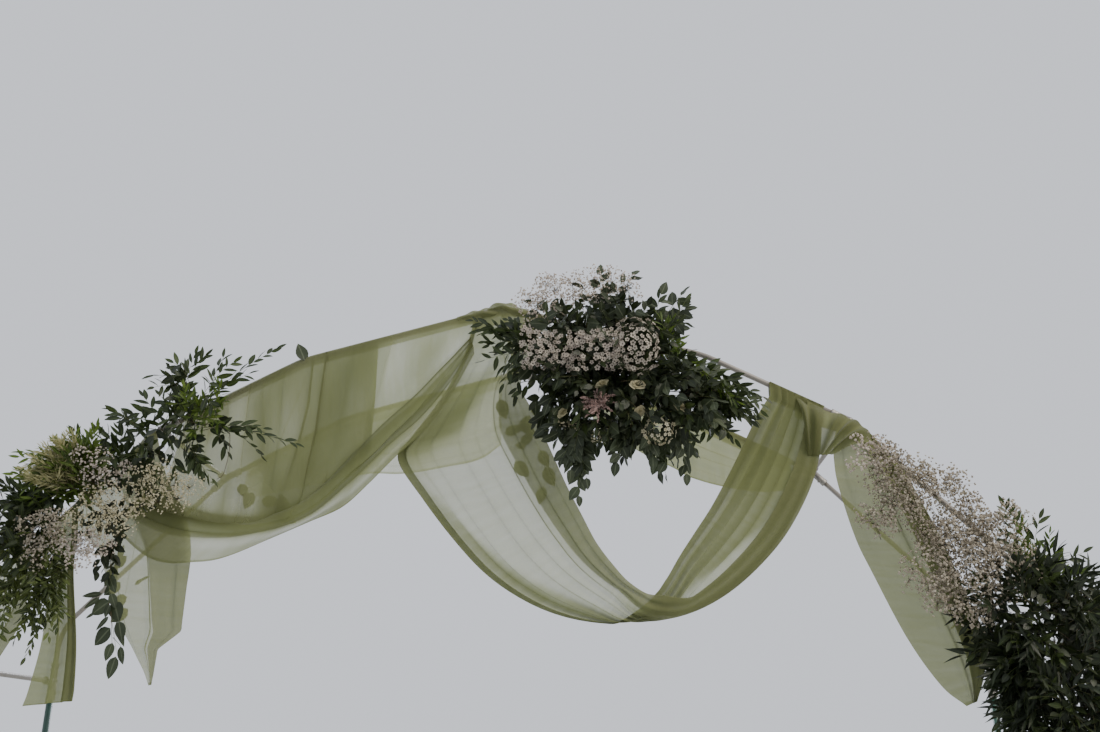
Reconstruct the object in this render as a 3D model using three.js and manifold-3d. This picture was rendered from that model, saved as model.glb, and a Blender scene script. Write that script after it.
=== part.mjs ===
// A canopy for a wedding: two arched tube hoops on base plates, joined by rails, hung with swags
// of thin cloth and dressed with garlands. Millimetres, +Z up, the front towards -Y, and the origin
// on the ground in the middle.
import * as THREE from "three";
import Module from "manifold-3d";

const wasm = await Module();
wasm.setup();

// Driving sizes
const hoopY = 350; // each hoop stands this far in front of or behind the middle
const apex = [0, 2770]; // x and z of the corners of half a hoop, on the tube's axis
const kink = [720, 2580];
const shoulder = [1215, 2325];
const spring = [1820, 1710];
const kinkRadius = 400; // how the tube is bent at those corners
const springRadius = 200;
const topTube = { radius: 9.5, wall: 1.5 };
const legTube = { radius: 12.5, wall: 1.5 };
const sides = 12; // flats round a tube
const fit = 0.3; // the gap between pieces that touch

const fitting = { radius: 14, legRadius: 17, reach: 70, core: 22, boss: 62 };
const springFittingZ = 1510;
const plate = { width: 220, length: 400, thick: 8, corner: 24, outboard: 280 };
const socket = { radius: 16.5, height: 78 };
const gusset = { length: 62, height: 52, thick: 6 };
const pegHole = { radius: 7, inset: 32 };

const cloth = 6; // the thickness that stands for a fold-filled sheet
const hookStep = Math.PI / 4; // cloth goes over the tube in facets of this angle
const hookRadius = (topTube.radius + fit) / Math.cos(hookStep / 2) + cloth / 2;
const backFlap = 45; // how far the cloth hangs down behind the tube
const hookEnd = 1130; // cloth over the tube stops here, short of the shoulder fitting
const frontFace = -hoopY - fitting.radius - fit - cloth / 2; // a sheet that hangs before a fitting
const springFace = -hoopY - fitting.legRadius - fit - cloth / 2;
const tubeFace = -hoopY - topTube.radius - fit - cloth / 2;

// Small vector and solid helpers
const add = (a, b, k = 1) => a.map((v, i) => v + k * b[i]);
const mix = (a, b, t) => a.map((v, i) => v + t * (b[i] - v));
const length = (a) => Math.hypot(...a);
const unit = (a) => a.map((v) => v / length(a));
const cross = (a, b) => [
  a[1] * b[2] - a[2] * b[1],
  a[2] * b[0] - a[0] * b[2],
  a[0] * b[1] - a[1] * b[0],
];

function solid(points, triangles) {
  const make = (faces) =>
    new wasm.Manifold(
      new wasm.Mesh({
        numProp: 3,
        vertProperties: new Float32Array(points.flat()),
        triVerts: new Uint32Array(faces.flat()),
      }),
    );
  const made = make(triangles);
  return made.volume() > 0 ? made : make(triangles.map(([a, b, c]) => [a, c, b]));
}

// Quads between each ring of points and the next, and from the last to the first if looped.
function bands(rings, looped) {
  const n = rings[0].length;
  const faces = [];
  const last = looped ? rings.length : rings.length - 1;
  for (let i = 0; i < last; i++) {
    for (let k = 0; k < n; k++) {
      const [a, b] = [i * n + k, i * n + ((k + 1) % n)];
      const [c, d] = [a, b].map((v) => (v + n) % (n * rings.length));
      faces.push([a, b, d], [a, d, c]);
    }
  }
  return faces;
}

// A solid through rings of points, closed by a fan at each end.
function loft(rings) {
  const n = rings[0].length;
  const top = (rings.length - 1) * n;
  const faces = bands(rings, false);
  for (let k = 1; k < n - 1; k++) {
    faces.push([0, k + 1, k], [top, top + k, top + k + 1]);
  }
  return solid(rings.flat(), faces);
}

function ringAt(center, across, up, radiusAcross, radiusUp = radiusAcross, count = sides) {
  return Array.from({ length: count }, (_, k) => {
    const turn = (2 * Math.PI * k) / count;
    const point = add(center, across, radiusAcross * Math.cos(turn));
    return add(point, up, radiusUp * Math.sin(turn));
  });
}

// The rings of a tube along a path of [x, y, z] points. Their flats keep one direction, so that a
// tube and its bore fit each other.
function pathRings(path, radius) {
  return path.map((point, i) => {
    const before = path[Math.max(i - 1, 0)];
    const after = path[Math.min(i + 1, path.length - 1)];
    const along = unit(add(after, before, -1));
    const across = Math.abs(along[1]) > 0.9 ? [1, 0, 0] : [0, 1, 0];
    const half = i && i < path.length - 1 ? cornerStretch(before, point, after) : 1;
    return ringAt(point, across, cross(along, across), radius, radius * half);
  });
}

// A ring that halves the angle of a bend is a little longer in the plane of the bend.
function cornerStretch(before, point, after) {
  const [a, b] = [unit(add(point, before, -1)), unit(add(after, point, -1))];
  const cosine = a.reduce((sum, v, i) => sum + v * b[i], 0);
  return 1 / Math.sqrt((1 + cosine) / 2);
}

const rod = (from, to, radius) => loft(pathRings([from, to], radius));

function tube(path, { radius, wall }) {
  const outer = pathRings(path, radius);
  const inner = pathRings(path, radius - wall).reverse();
  return solid([...outer, ...inner].flat(), bands([...outer, ...inner], true));
}

const union = (solids) => wasm.Manifold.union(solids);
const cut = (body, tools) => tools.reduce((left, tool) => left.subtract(tool), body);

function largest(body) {
  return body.decompose().reduce((a, b) => (b.volume() > a.volume() ? b : a));
}

// The frame's path: x and z along half a hoop, for the right side, with bends as arcs.
function rounded(before, corner, after, radius, steps) {
  const [a, b] = [unit(add(before, corner, -1)), unit(add(after, corner, -1))];
  const turn = Math.PI - Math.acos(a[0] * b[0] + a[1] * b[1]);
  const reach = radius * Math.tan(turn / 2);
  const center = add(corner, unit(add(a, b)), radius / Math.cos(turn / 2));
  const from = add(corner, a, reach);
  const to = add(corner, b, reach);
  const [start, end] = [from, to].map((p) => Math.atan2(p[1] - center[1], p[0] - center[0]));
  return Array.from({ length: steps + 1 }, (_, i) => {
    const angle = start + ((end - start) * i) / steps;
    return add(center, [Math.cos(angle), Math.sin(angle)], radius);
  });
}

const legTop = [spring[0], springFittingZ];
const crownPath = [apex, ...rounded(apex, kink, shoulder, kinkRadius, 2), shoulder];
const haunchPath = [shoulder, ...rounded(shoulder, spring, legTop, springRadius, 4), legTop];

// The same path with its ends cut back by the given lengths.
function trimmed(path, atStart, atEnd) {
  const first = add(path[0], unit(add(path[1], path[0], -1)), atStart);
  const [end, near] = [path.at(-1), path.at(-2)];
  return [first, ...path.slice(1, -1), add(end, unit(add(near, end, -1)), atEnd)];
}

// Places a right-hand x, z path on one side and one hoop.
const placed = (path, side, y) => path.map(([x, z]) => [side * x, y, z]);

function crownTube(side, y) {
  const gap = fitting.core + fit;
  return tube(placed(trimmed(crownPath, gap, gap), side, y), topTube);
}

function haunchTube(side, y) {
  const gap = fitting.core + fit;
  return tube(placed(trimmed(haunchPath, gap, gap), side, y), topTube);
}

function leg(side, y) {
  const top = springFittingZ - fitting.core - fit;
  return tube([[side * spring[0], y, plate.thick + fit], [side * spring[0], y, top]], legTube);
}

// A fitting holds tube ends in arms that meet at a corner, and a rail in a boss across them.
function fittingShell(corner, arms, inward, grow = 0) {
  const meet = 4;
  const bodies = arms.map(({ towards, radius }) => {
    const start = add(corner, towards, -meet);
    return rod(start, add(corner, towards, fitting.reach + grow), radius + grow);
  });
  const boss = add(corner, [0, inward, 0], fitting.boss + grow);
  return union([...bodies, rod(corner, boss, fitting.radius + grow)]);
}

function fittingBody(corner, arms, inward) {
  const bores = arms.map(({ towards, bore }) => {
    const mouth = add(corner, towards, fitting.reach + 1);
    return rod(add(corner, towards, fitting.core), mouth, bore + fit);
  });
  const railMouth = add(corner, [0, inward, 0], fitting.boss + 1);
  bores.push(rod(add(corner, [0, inward, 0], fitting.core), railMouth, topTube.radius + fit));
  return cut(fittingShell(corner, arms, inward), bores);
}

const topArm = (towards) => ({ towards, radius: fitting.radius, bore: topTube.radius });
const legArm = (towards) => ({ towards, radius: fitting.legRadius, bore: legTube.radius });

function armTo(from, to, side) {
  const [dx, dz] = unit(add(to, from, -1));
  return [side * dx, 0, dz];
}

const fittingSpots = {
  apex: (y) => ({
    corner: [apex[0], y, apex[1]],
    arms: [-1, 1].map((side) => topArm(armTo(apex, kink, side))),
  }),
  shoulder: (y, side) => ({
    corner: [side * shoulder[0], y, shoulder[1]],
    arms: [topArm(armTo(shoulder, kink, side)), topArm(armTo(shoulder, spring, side))],
  }),
  spring: (y, side) => ({
    corner: [side * spring[0], y, springFittingZ],
    arms: [topArm([0, 0, 1]), legArm([0, 0, -1])],
  }),
};

function rail(x, z) {
  const end = hoopY - fitting.core - fit;
  return tube([[x, -end, z], [x, end, z]], topTube);
}

function extruded(outline, depth, holes = []) {
  const shape = new THREE.Shape(outline.map(([x, y]) => new THREE.Vector2(x, y)));
  shape.holes = holes.map((hole) => new THREE.Path(hole.map(([x, y]) => new THREE.Vector2(x, y))));
  const made = new THREE.ExtrudeGeometry(shape, { depth, bevelEnabled: false, curveSegments: 3 });
  return weld(made);
}

// A geometry of loose triangles as a solid, its points merged where they meet.
function weld(geometry) {
  const position = geometry.getAttribute("position");
  const seen = new Map();
  const points = [];
  const at = Array.from({ length: position.count }, (_, i) => {
    const p = [position.getX(i), position.getY(i), position.getZ(i)];
    const key = p.map((v) => Math.round(v * 1e3)).join();
    if (!seen.has(key)) seen.set(key, points.push(p) - 1);
    return seen.get(key);
  });
  const order = geometry.index ? Array.from(geometry.index.array, (i) => at[i]) : at;
  const faces = [];
  for (let i = 0; i < order.length; i += 3) faces.push(order.slice(i, i + 3));
  return solid(points, faces);
}

function arc(cx, cy, radius, from, to, steps) {
  return Array.from({ length: steps + 1 }, (_, i) => {
    const angle = from + ((to - from) * i) / steps;
    return [cx + radius * Math.cos(angle), cy + radius * Math.sin(angle)];
  });
}

// A plate that reaches outward in front of or behind its leg, with a socket and two gussets.
function basePlate(side, outward) {
  const [w, r] = [plate.width / 2, plate.corner];
  const [low, high] = [plate.outboard - plate.length, plate.outboard];
  const quarter = Math.PI / 2;
  const corners = [[w - r, high - r], [r - w, high - r], [r - w, low + r], [w - r, low + r]];
  const outline = corners.flatMap(([x, y], i) => arc(x, y, r, i * quarter, (i + 1) * quarter, 3));
  const holes = corners.map(([x, y]) => {
    const holeX = x - Math.sign(x) * (pegHole.inset - r);
    const holeY = y < 0 ? low + pegHole.inset : high - pegHole.inset;
    return arc(holeX, holeY, pegHole.radius, 0, -2 * Math.PI * (7 / 8), 7);
  });
  const slab = extruded(outline, plate.thick, holes);
  const stub = rod([0, 0, plate.thick / 2], [0, 0, socket.height], socket.radius);
  const bore = rod([0, 0, plate.thick], [0, 0, socket.height + 1], legTube.radius + fit);
  const ribs = [-1, 1].map((way) => {
    const near = socket.radius - 2;
    const far = near + gusset.length;
    const rib = extruded([[near, 0], [far, 0], [far, 6], [near, gusset.height]], gusset.thick);
    return rib
      .translate([0, plate.thick - 1, -gusset.thick / 2])
      .rotate([90, 0, 90 * way]);
  });
  const body = cut(union([slab, stub, ...ribs]), [bore]);
  const turned = outward < 0 ? body.mirror([0, 1, 0]) : body;
  return turned.translate([side * spring[0], outward * hoopY, 0]);
}

// Cloth: a grid of points, given a thickness to both sides.
function sheet(rows, thick = cloth) {
  const [m, n] = [rows.length, rows[0].length];
  const normalAt = (i, j) => {
    const down = add(rows[Math.min(i + 1, m - 1)][j], rows[Math.max(i - 1, 0)][j], -1);
    const over = add(rows[i][Math.min(j + 1, n - 1)], rows[i][Math.max(j - 1, 0)], -1);
    return unit(cross(down, over));
  };
  const offset = (way) => (p, i, j) => add(p, normalAt(i, j), (way * thick) / 2);
  const face = (way) => rows.flatMap((row, i) => row.map((p, j) => offset(way)(p, i, j)));
  const points = [...face(1), ...face(-1)];
  const back = m * n;
  const faces = [];
  const quad = (a, b, c, d) => faces.push([a, b, c], [a, c, d]);
  for (let i = 0; i < m - 1; i++) {
    for (let j = 0; j < n - 1; j++) {
      const a = i * n + j;
      quad(a, a + 1, a + n + 1, a + n);
      quad(back + a, back + a + n, back + a + n + 1, back + a + 1);
    }
  }
  const rim = [];
  for (let j = 0; j < n - 1; j++) rim.push(j);
  for (let i = 0; i < m - 1; i++) rim.push(i * n + n - 1);
  for (let j = n - 1; j > 0; j--) rim.push((m - 1) * n + j);
  for (let i = m - 1; i > 0; i--) rim.push(i * n);
  rim.forEach((a, i) => {
    const b = rim[(i + 1) % rim.length];
    quad(b, a, back + a, back + b);
  });
  return solid(points, faces);
}

// The point of a smooth curve at a share of its length.
function smooth(points, share) {
  const curve = new THREE.CatmullRomCurve3(points.map(([x, z]) => new THREE.Vector3(x, 0, z)));
  const p = curve.getPointAt(share);
  return [p.x, p.z];
}

// The tube's axis above a given x, with the upward normal there.
function onHoop(x) {
  const side = Math.sign(x) || 1;
  const path = [...crownPath, ...haunchPath.slice(1)];
  let i = 1;
  while (path[i][0] < Math.abs(x) && i < path.length - 2) i++;
  const [a, b, c] = [path[i - 1], path[i], path[i + 1]];
  const t = (Math.abs(x) - a[0]) / (b[0] - a[0]);
  const onCorner = t > 0.999;
  const [dx, dz] = unit(add(onCorner ? c : b, a, -1));
  return { point: mix(a, b, t), side, normal: [-dz * side, 0, dx] };
}

// Shares of a span of the tube, even but with one on each corner of the tube's path.
function stationShares(from, to, across) {
  const corners = crownPath.map(([x]) => (Math.sign(from) * x - from) / (to - from));
  const held = corners.filter((s) => s > 0.02 && s < 0.98);
  const even = Array.from({ length: across + 1 }, (_, j) => j / across);
  const free = even.filter((s) => held.every((h) => Math.abs(h - s) > 0.45 / across));
  return [...free, ...held].sort((a, b) => a - b);
}

// The rows of a sheet over the tube: a flap behind it, half a turn over it, then down the front.
function hookRows(stations, y) {
  const turns = [4, 3, 2, 1, 0].map((step) => step * hookStep);
  const rowAt = (turn, drop) =>
    stations.map((x) => {
      const { point, side, normal } = onHoop(x);
      const axis = [side * point[0], y, point[1]];
      const reach = add([0, -Math.cos(turn), 0], normal, Math.sin(turn));
      return add(add(axis, reach, hookRadius), [0, 0, -1], drop);
    });
  return [rowAt(turns[0], backFlap), ...turns.map((turn) => rowAt(turn, 0))];
}

// A panel that hooks over the tube between two stations and falls to a lower edge.
function hungPanel({ from, to, lower, y = -hoopY, belly = 0, across = 8, down = 4 }) {
  const shares = stationShares(from, to, across);
  const hook = hookRows(shares.map((s) => from + (to - from) * s), y);
  const top = hook.at(-1);
  const fall = Array.from({ length: down }, (_, i) => {
    const t = (i + 1) / down;
    return shares.map((s, j) => {
      const [x, z] = smooth(lower, s);
      const out = belly * Math.min(1, 1.6 * t) * (0.5 + 0.5 * Math.sin(Math.PI * s));
      const [px, , pz] = mix(top[j], [x, 0, z], t);
      return [px, top[j][1] - out, pz];
    });
  });
  return sheet([...hook, ...fall]);
}

// A panel between two long edges, given as matching x, z points from top to bottom.
function limb(edges, { y, belly = 0, across = 3, hook = null }) {
  const shares = Array.from({ length: across + 1 }, (_, j) => j / across);
  const rows = edges.map(([a, b], i) => {
    const out = belly * Math.sin((Math.PI / 2) * (i / (edges.length - 1)));
    return shares.map((s) => {
      const [x, z] = mix(a, b, s);
      return [x, y - out, z];
    });
  });
  const top = hook ? hookRows(shares.map((s) => hook[0] + (hook[1] - hook[0]) * s), -hoopY) : [];
  return sheet([...top, ...rows]);
}

const leftSwagLower = [
  [-105, 2660], [-252, 2420], [-348, 2215], [-529, 2020], [-700, 1935],
  [-880, 1865], [-1030, 1840], [-1185, 1857], [-1400, 1930], [-1480, 2010],
];
const leftValanceLower = [
  [-90, 2450], [-149, 2385], [-464, 2325], [-619, 2327], [-850, 2290], [-1130, 2230],
];
const rightValanceLower = [
  [330, 2520], [470, 2438], [648, 2338], [843, 2260], [996, 2238], [1140, 2250],
];

// Each row of a limb or tail: its left and right edge, from the top down.
const leftLimbEdges = [
  [[40, 2640], [150, 2640]],
  [[-60, 2545], [125, 2540]],
  [[-217, 2399], [110, 2430]],
  [[-361, 2228], [140, 2310]],
  [[-273, 2039], [205, 2175]],
  [[-165, 1901], [282, 2017]],
  [[-40, 1785], [340, 1915]],
  [[120, 1690], [410, 1815]],
  [[343, 1631], [480, 1752]],
  [[540, 1640], [540, 1712]],
];
const rightLimbEdges = [
  [[930, 2375], [1125, 2270]],
  [[873, 2288], [1105, 2200]],
  [[781, 2119], [1067, 2067]],
  [[700, 1995], [994, 1955]],
  [[630, 1885], [906, 1829]],
  [[583, 1805], [798, 1745]],
  [[555, 1752], [680, 1682]],
  [[541, 1713], [541, 1642]],
];
const rightTailEdges = [
  [[1190, 2345], [1290, 2262]],
  [[1142, 2169], [1367, 2150]],
  [[1149, 2080], [1415, 2040]],
  [[1186, 1914], [1470, 1900]],
  [[1231, 1795], [1510, 1770]],
  [[1322, 1584], [1565, 1560]],
  [[1412, 1440], [1550, 1470]],
  [[1485, 1378], [1515, 1397]],
];
const leftInnerTailEdges = [
  [[-1285, 2262], [-1228, 2328]],
  [[-1330, 2110], [-1165, 2110]],
  [[-1355, 1894], [-1060, 1885]],
  [[-1311, 1759], [-1046, 1750]],
  [[-1265, 1653], [-1046, 1609]],
  [[-1201, 1562], [-1122, 1548]],
  [[-1145, 1460], [-1125, 1455]],
];
const leftOuterTailEdges = [
  [[-1540, 1995], [-1470, 2062]],
  [[-1530, 1830], [-1446, 1821]],
  [[-1522, 1600], [-1402, 1595]],
  [[-1540, 1440], [-1385, 1442]],
  [[-1550, 1384], [-1384, 1384]],
];
const leftFarTailEdges = [
  [[-1720, 1812], [-1620, 1913]],
  [[-1740, 1720], [-1590, 1700]],
  [[-1790, 1600], [-1640, 1560]],
  [[-1840, 1480], [-1720, 1440]],
  [[-1870, 1400], [-1800, 1370]],
];

// Garlands: a mass round a spine of [x, z, half height, half depth], set on the tube.
function mass(spine, { y, lumps = 0.07, count = 10 }) {
  const rings = spine.map(([x, z, high, deep], i) => {
    const before = spine[Math.max(i - 1, 0)];
    const after = spine[Math.min(i + 1, spine.length - 1)];
    const [dx, dz] = unit([after[0] - before[0], after[1] - before[1]]);
    const ring = ringAt([x, y, z], [0, 1, 0], [-dz, 0, dx], deep, high, count);
    return ring.map((p, k) => mix([x, y, z], p, 1 + lumps * Math.sin(2.4 * k + 1.9 * i)));
  });
  return loft(rings);
}

// The space under the front tube and behind a plane, which a garland keeps clear of.
function underHoop(side, tubeGap, backPlane) {
  const post = [[spring[0], springFittingZ + 82], [spring[0], 0]];
  const outline = [...crownPath, ...haunchPath.slice(1, -1), ...post];
  const offset = outline.map((p, i) => {
    const before = outline[Math.max(i - 1, 0)];
    const after = outline[Math.min(i + 1, outline.length - 1)];
    const [dx, dz] = unit(add(after, before, -1));
    const gap = p[1] < springFittingZ + 100 ? fitting.legRadius + fit : tubeGap;
    return add(p, [-dz, dx], gap);
  });
  const closed = [...offset, [-400, 0], [-400, offset[0][1] - 100]].map(([x, z]) => [side * x, z]);
  const back = hoopY * 4;
  return extruded(closed, back)
    .rotate([90, 0, 0])
    .translate([0, backPlane + back, 0]);
}

// A garland's masses, trimmed where it meets its neighbour. The low ones may pass below it.
function garland({ blobs, low = [], side, y, tubeGap, backPlane, from, to, above }) {
  let body = union(blobs.map((spine) => mass(spine, { y })));
  if (from !== undefined) body = body.trimByPlane([1, 0, 0], from);
  if (to !== undefined) body = body.trimByPlane([-1, 0, 0], -to);
  if (above !== undefined) body = body.trimByPlane([0, 0, 1], above);
  const under = low.map((spine) => mass(spine, { y }).trimByPlane([0, 0, -1], -garlandSill));
  return largest(cut(union([body, ...under]), [underHoop(side, tubeGap, backPlane)]));
}

const overCloth = hookRadius + cloth / 2 + fit;
const overTube = topTube.radius + fit;
const overFitting = fitting.radius + fit;
const leftSplit = -1365; // where the two left garlands meet
const rightSplit = 1600;
const garlandSill = 1560; // the right foliage passes under the gypsophila below this height

const garlands = {
  left_shoulder_garland: {
    side: -1, y: -455, tubeGap: overCloth, backPlane: -432, from: leftSplit + fit / 2,
    blobs: [
      [
        [-760, 2520, 20, 20], [-830, 2490, 60, 70], [-960, 2430, 115, 110], [-1100, 2330, 150, 140],
        [-1230, 2210, 165, 150], [-1365, 2100, 195, 160], [-1440, 2050, 195, 160],
      ],
      [[-1400, 2000, 90, 70], [-1180, 2060, 115, 80], [-1040, 2110, 80, 60], [-950, 2120, 20, 20]],
      [
        [-1345, 1980, 70, 50], [-1345, 1850, 45, 40], [-1305, 1700, 60, 45],
        [-1275, 1560, 45, 35], [-1262, 1475, 10, 10],
      ],
    ],
  },
  left_haunch_garland: {
    side: -1, y: -455, tubeGap: overTube, backPlane: -432, to: leftSplit - fit / 2,
    blobs: [
      [
        [-1290, 2170, 165, 150], [-1440, 2070, 190, 160], [-1560, 1960, 175, 165],
        [-1680, 1830, 175, 150], [-1770, 1690, 145, 130], [-1810, 1590, 90, 90], [-1815, 1540, 20, 20],
      ],
      [
        [-1500, 2000, 100, 80], [-1505, 1850, 120, 80], [-1505, 1700, 115, 75],
        [-1490, 1600, 60, 45], [-1485, 1565, 15, 15],
      ],
    ],
  },
  crown_bouquet: {
    side: 1, y: -450, tubeGap: overCloth, backPlane: -400,
    blobs: [
      [
        [-65, 2565, 20, 20], [15, 2580, 100, 110], [120, 2580, 240, 170], [240, 2520, 355, 172],
        [360, 2500, 385, 172], [480, 2490, 335, 165], [600, 2440, 285, 155], [710, 2390, 195, 130],
        [820, 2365, 115, 90], [890, 2370, 25, 25],
      ],
    ],
  },
  right_gypsophila: {
    side: 1, y: -440, tubeGap: overFitting, backPlane: -400, to: rightSplit - fit / 2,
    above: garlandSill + fit,
    blobs: [
      [
        [1165, 2230, 30, 30], [1210, 2180, 90, 90], [1320, 2060, 160, 145], [1440, 1910, 200, 165],
        [1550, 1750, 190, 150], [1640, 1620, 130, 110],
      ],
    ],
  },
  right_foliage: {
    side: 1, y: -440, tubeGap: overTube, backPlane: -400, from: rightSplit + fit / 2,
    blobs: [
      [
        [1560, 1830, 90, 100], [1700, 1760, 165, 150], [1770, 1650, 190, 160], [1785, 1540, 195, 160],
      ],
    ],
    low: [
      [
        [1745, 1620, 60, 60], [1735, 1540, 235, 160], [1730, 1400, 235, 165], [1740, 1260, 200, 145],
        [1750, 1150, 110, 80], [1755, 1095, 20, 20],
      ],
    ],
  },
};

// Materials, in the photograph's colours
const plain = (color, roughness, metalness = 0) =>
  new THREE.MeshStandardMaterial({ color, roughness, metalness });

const materials = {
  greyTube: plain("#a9a49b", 0.45, 0.6),
  greenTube: plain("#1f5142", 0.5, 0.1),
  castFitting: plain("#8f8c86", 0.55, 0.6),
  basePlate: plain("#3b403c", 0.6, 0.4),
  chiffon: plain("#b6bd97", 0.85),
  foliage: plain("#33402c", 0.7),
  gypsophila: plain("#b9ada4", 0.8),
};

function geometryOf(body) {
  const { vertProperties, triVerts } = body.getMesh();
  const geometry = new THREE.BufferGeometry();
  geometry.setAttribute("position", new THREE.BufferAttribute(vertProperties, 3));
  geometry.setIndex(new THREE.BufferAttribute(triVerts, 1));
  const faceted = geometry.toNonIndexed();
  faceted.computeVertexNormals();
  return faceted;
}

const canopy = new THREE.Group();
canopy.name = "wedding_canopy";

function place(name, body, material) {
  const mesh = new THREE.Mesh(geometryOf(body), material);
  mesh.name = name;
  canopy.add(mesh);
}

const hoops = { front: -1, back: 1 };
const ends = { left: -1, right: 1 };

for (const [hoop, outward] of Object.entries(hoops)) {
  const y = outward * hoopY;
  const inward = -outward;
  const fittingAt = (spot, side) => {
    const { corner, arms } = fittingSpots[spot](y, side);
    return fittingBody(corner, arms, inward);
  };
  place(`${hoop}_apex_fitting`, fittingAt("apex"), materials.castFitting);
  for (const [end, side] of Object.entries(ends)) {
    const name = `${hoop}_${end}`;
    place(`${name}_base_plate`, basePlate(side, outward), materials.basePlate);
    place(`${name}_leg`, leg(side, y), materials.greenTube);
    place(`${name}_haunch_tube`, haunchTube(side, y), materials.greyTube);
    place(`${name}_crown_tube`, crownTube(side, y), materials.greyTube);
    place(`${name}_shoulder_fitting`, fittingAt("shoulder", side), materials.castFitting);
    place(`${name}_spring_fitting`, fittingAt("spring", side), materials.castFitting);
  }
}

place("ridge_rail", rail(...apex), materials.greyTube);
for (const [end, side] of Object.entries(ends)) {
  place(`${end}_shoulder_rail`, rail(side * shoulder[0], shoulder[1]), materials.greyTube);
  place(`${end}_spring_rail`, rail(side * spring[0], springFittingZ), materials.greyTube);
}

const cloths = {
  left_swag: hungPanel({
    from: -75, to: -hookEnd, lower: leftSwagLower, belly: 60, across: 10,
  }),
  centre_swag_left_limb: limb(leftLimbEdges, { y: frontFace, belly: 22, hook: [75, 165] }),
  centre_swag_right_limb: limb(rightLimbEdges, { y: frontFace, belly: 22, hook: [966, hookEnd] }),
  left_back_valance: hungPanel({
    from: -75, to: -hookEnd, lower: leftValanceLower, y: hoopY, belly: 20,
  }),
  right_back_valance: hungPanel({
    from: 300, to: hookEnd, lower: rightValanceLower, y: hoopY, belly: 20,
  }),
  right_tail: limb(rightTailEdges, { y: frontFace, belly: 12 }),
  left_inner_tail: limb(leftInnerTailEdges, { y: frontFace }),
  left_outer_tail: limb(leftOuterTailEdges, { y: tubeFace }),
  left_far_tail: limb(leftFarTailEdges, { y: springFace }),
};
for (const [name, body] of Object.entries(cloths)) place(name, body, materials.chiffon);
for (const [name, shape] of Object.entries(garlands)) {
  const material = name === "right_gypsophila" ? materials.gypsophila : materials.foliage;
  place(name, garland(shape), material);
}

export default canopy;
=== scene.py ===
import math
import bpy
import numpy as np
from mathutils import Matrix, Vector


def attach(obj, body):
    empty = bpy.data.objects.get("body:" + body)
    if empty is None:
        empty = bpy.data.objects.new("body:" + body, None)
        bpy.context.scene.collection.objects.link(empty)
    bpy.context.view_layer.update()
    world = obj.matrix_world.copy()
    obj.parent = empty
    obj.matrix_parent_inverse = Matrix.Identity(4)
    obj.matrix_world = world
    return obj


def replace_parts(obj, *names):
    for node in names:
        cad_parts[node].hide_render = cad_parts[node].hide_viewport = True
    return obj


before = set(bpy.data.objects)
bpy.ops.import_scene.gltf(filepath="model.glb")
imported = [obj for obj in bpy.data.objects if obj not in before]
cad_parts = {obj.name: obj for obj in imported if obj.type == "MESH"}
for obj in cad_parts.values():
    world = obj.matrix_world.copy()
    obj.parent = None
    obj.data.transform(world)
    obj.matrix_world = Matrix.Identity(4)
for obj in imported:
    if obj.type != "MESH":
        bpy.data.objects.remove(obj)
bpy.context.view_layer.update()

random = np.random.default_rng(4807)
hands = {"left": -1, "right": 1}
goldenAngle = 2.39996


def linear(hexCode):
    # sRGB hex to linear: below 0.04045 a division by 12.92, above it the 2.4 power curve
    parts = [int(hexCode[i:i + 2], 16) / 255 for i in (1, 3, 5)]
    return (*[p / 12.92 if p <= 0.04045 else ((p + 0.055) / 1.055) ** 2.4 for p in parts], 1.0)


def addNode(tree, kind, inputs=(), stops=(), **settings):
    # adds a node: settings are its own and stops a ramp's; each input gets a value, a hex colour,
    # an output to link, or a node whose first live output it takes
    made = tree.nodes.new("ShaderNode" + kind)
    for name, value in settings.items():
        setattr(made, name, value)
    for place, (position, colour) in enumerate(stops):
        stop = made.color_ramp.elements[place] if place < 2 else made.color_ramp.elements.new(position)
        stop.position, stop.color = position, linear(colour)
    for name, value in dict(inputs).items():
        if isinstance(value, bpy.types.Node):
            value = next(socket for socket in value.outputs if socket.enabled)
        if isinstance(value, bpy.types.NodeSocket):
            tree.links.new(value, made.inputs[name])
        else:
            made.inputs[name].default_value = linear(value) if isinstance(value, str) else value
    return made


def newMaterial(name):
    # a material with an empty node tree, and that tree
    made = bpy.data.materials.new(name)
    made.use_nodes = True
    made.node_tree.nodes.clear()
    return made, made.node_tree


def unit(vectors):
    # each vector divided by its length
    return vectors / np.maximum(np.linalg.norm(vectors, axis=-1, keepdims=True), 1e-9)


def atDepth(flat, y):
    # (x, z) points at depth y
    flat = np.asarray(flat, float)
    return np.stack(np.broadcast_arrays(flat[..., 0], y, flat[..., 1]), -1)


def bell(x, middle, width):
    # exp(-t * t), with t the distance from the middle over the width
    return np.exp(-((x - middle) / width) ** 2)


def ramp(x, start, length):
    # 0 up to start and 1 from a length past it; a length below 0 runs the other way
    return np.clip((x - start) / length, 0, 1)


def between(x, low, high, soft):
    # 1 from low to high, falling to 0 outside over about four times soft, as two logistic steps
    return 1 / (1 + np.exp((low - x) / soft)) - 1 / (1 + np.exp((high - x) / soft))


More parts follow.
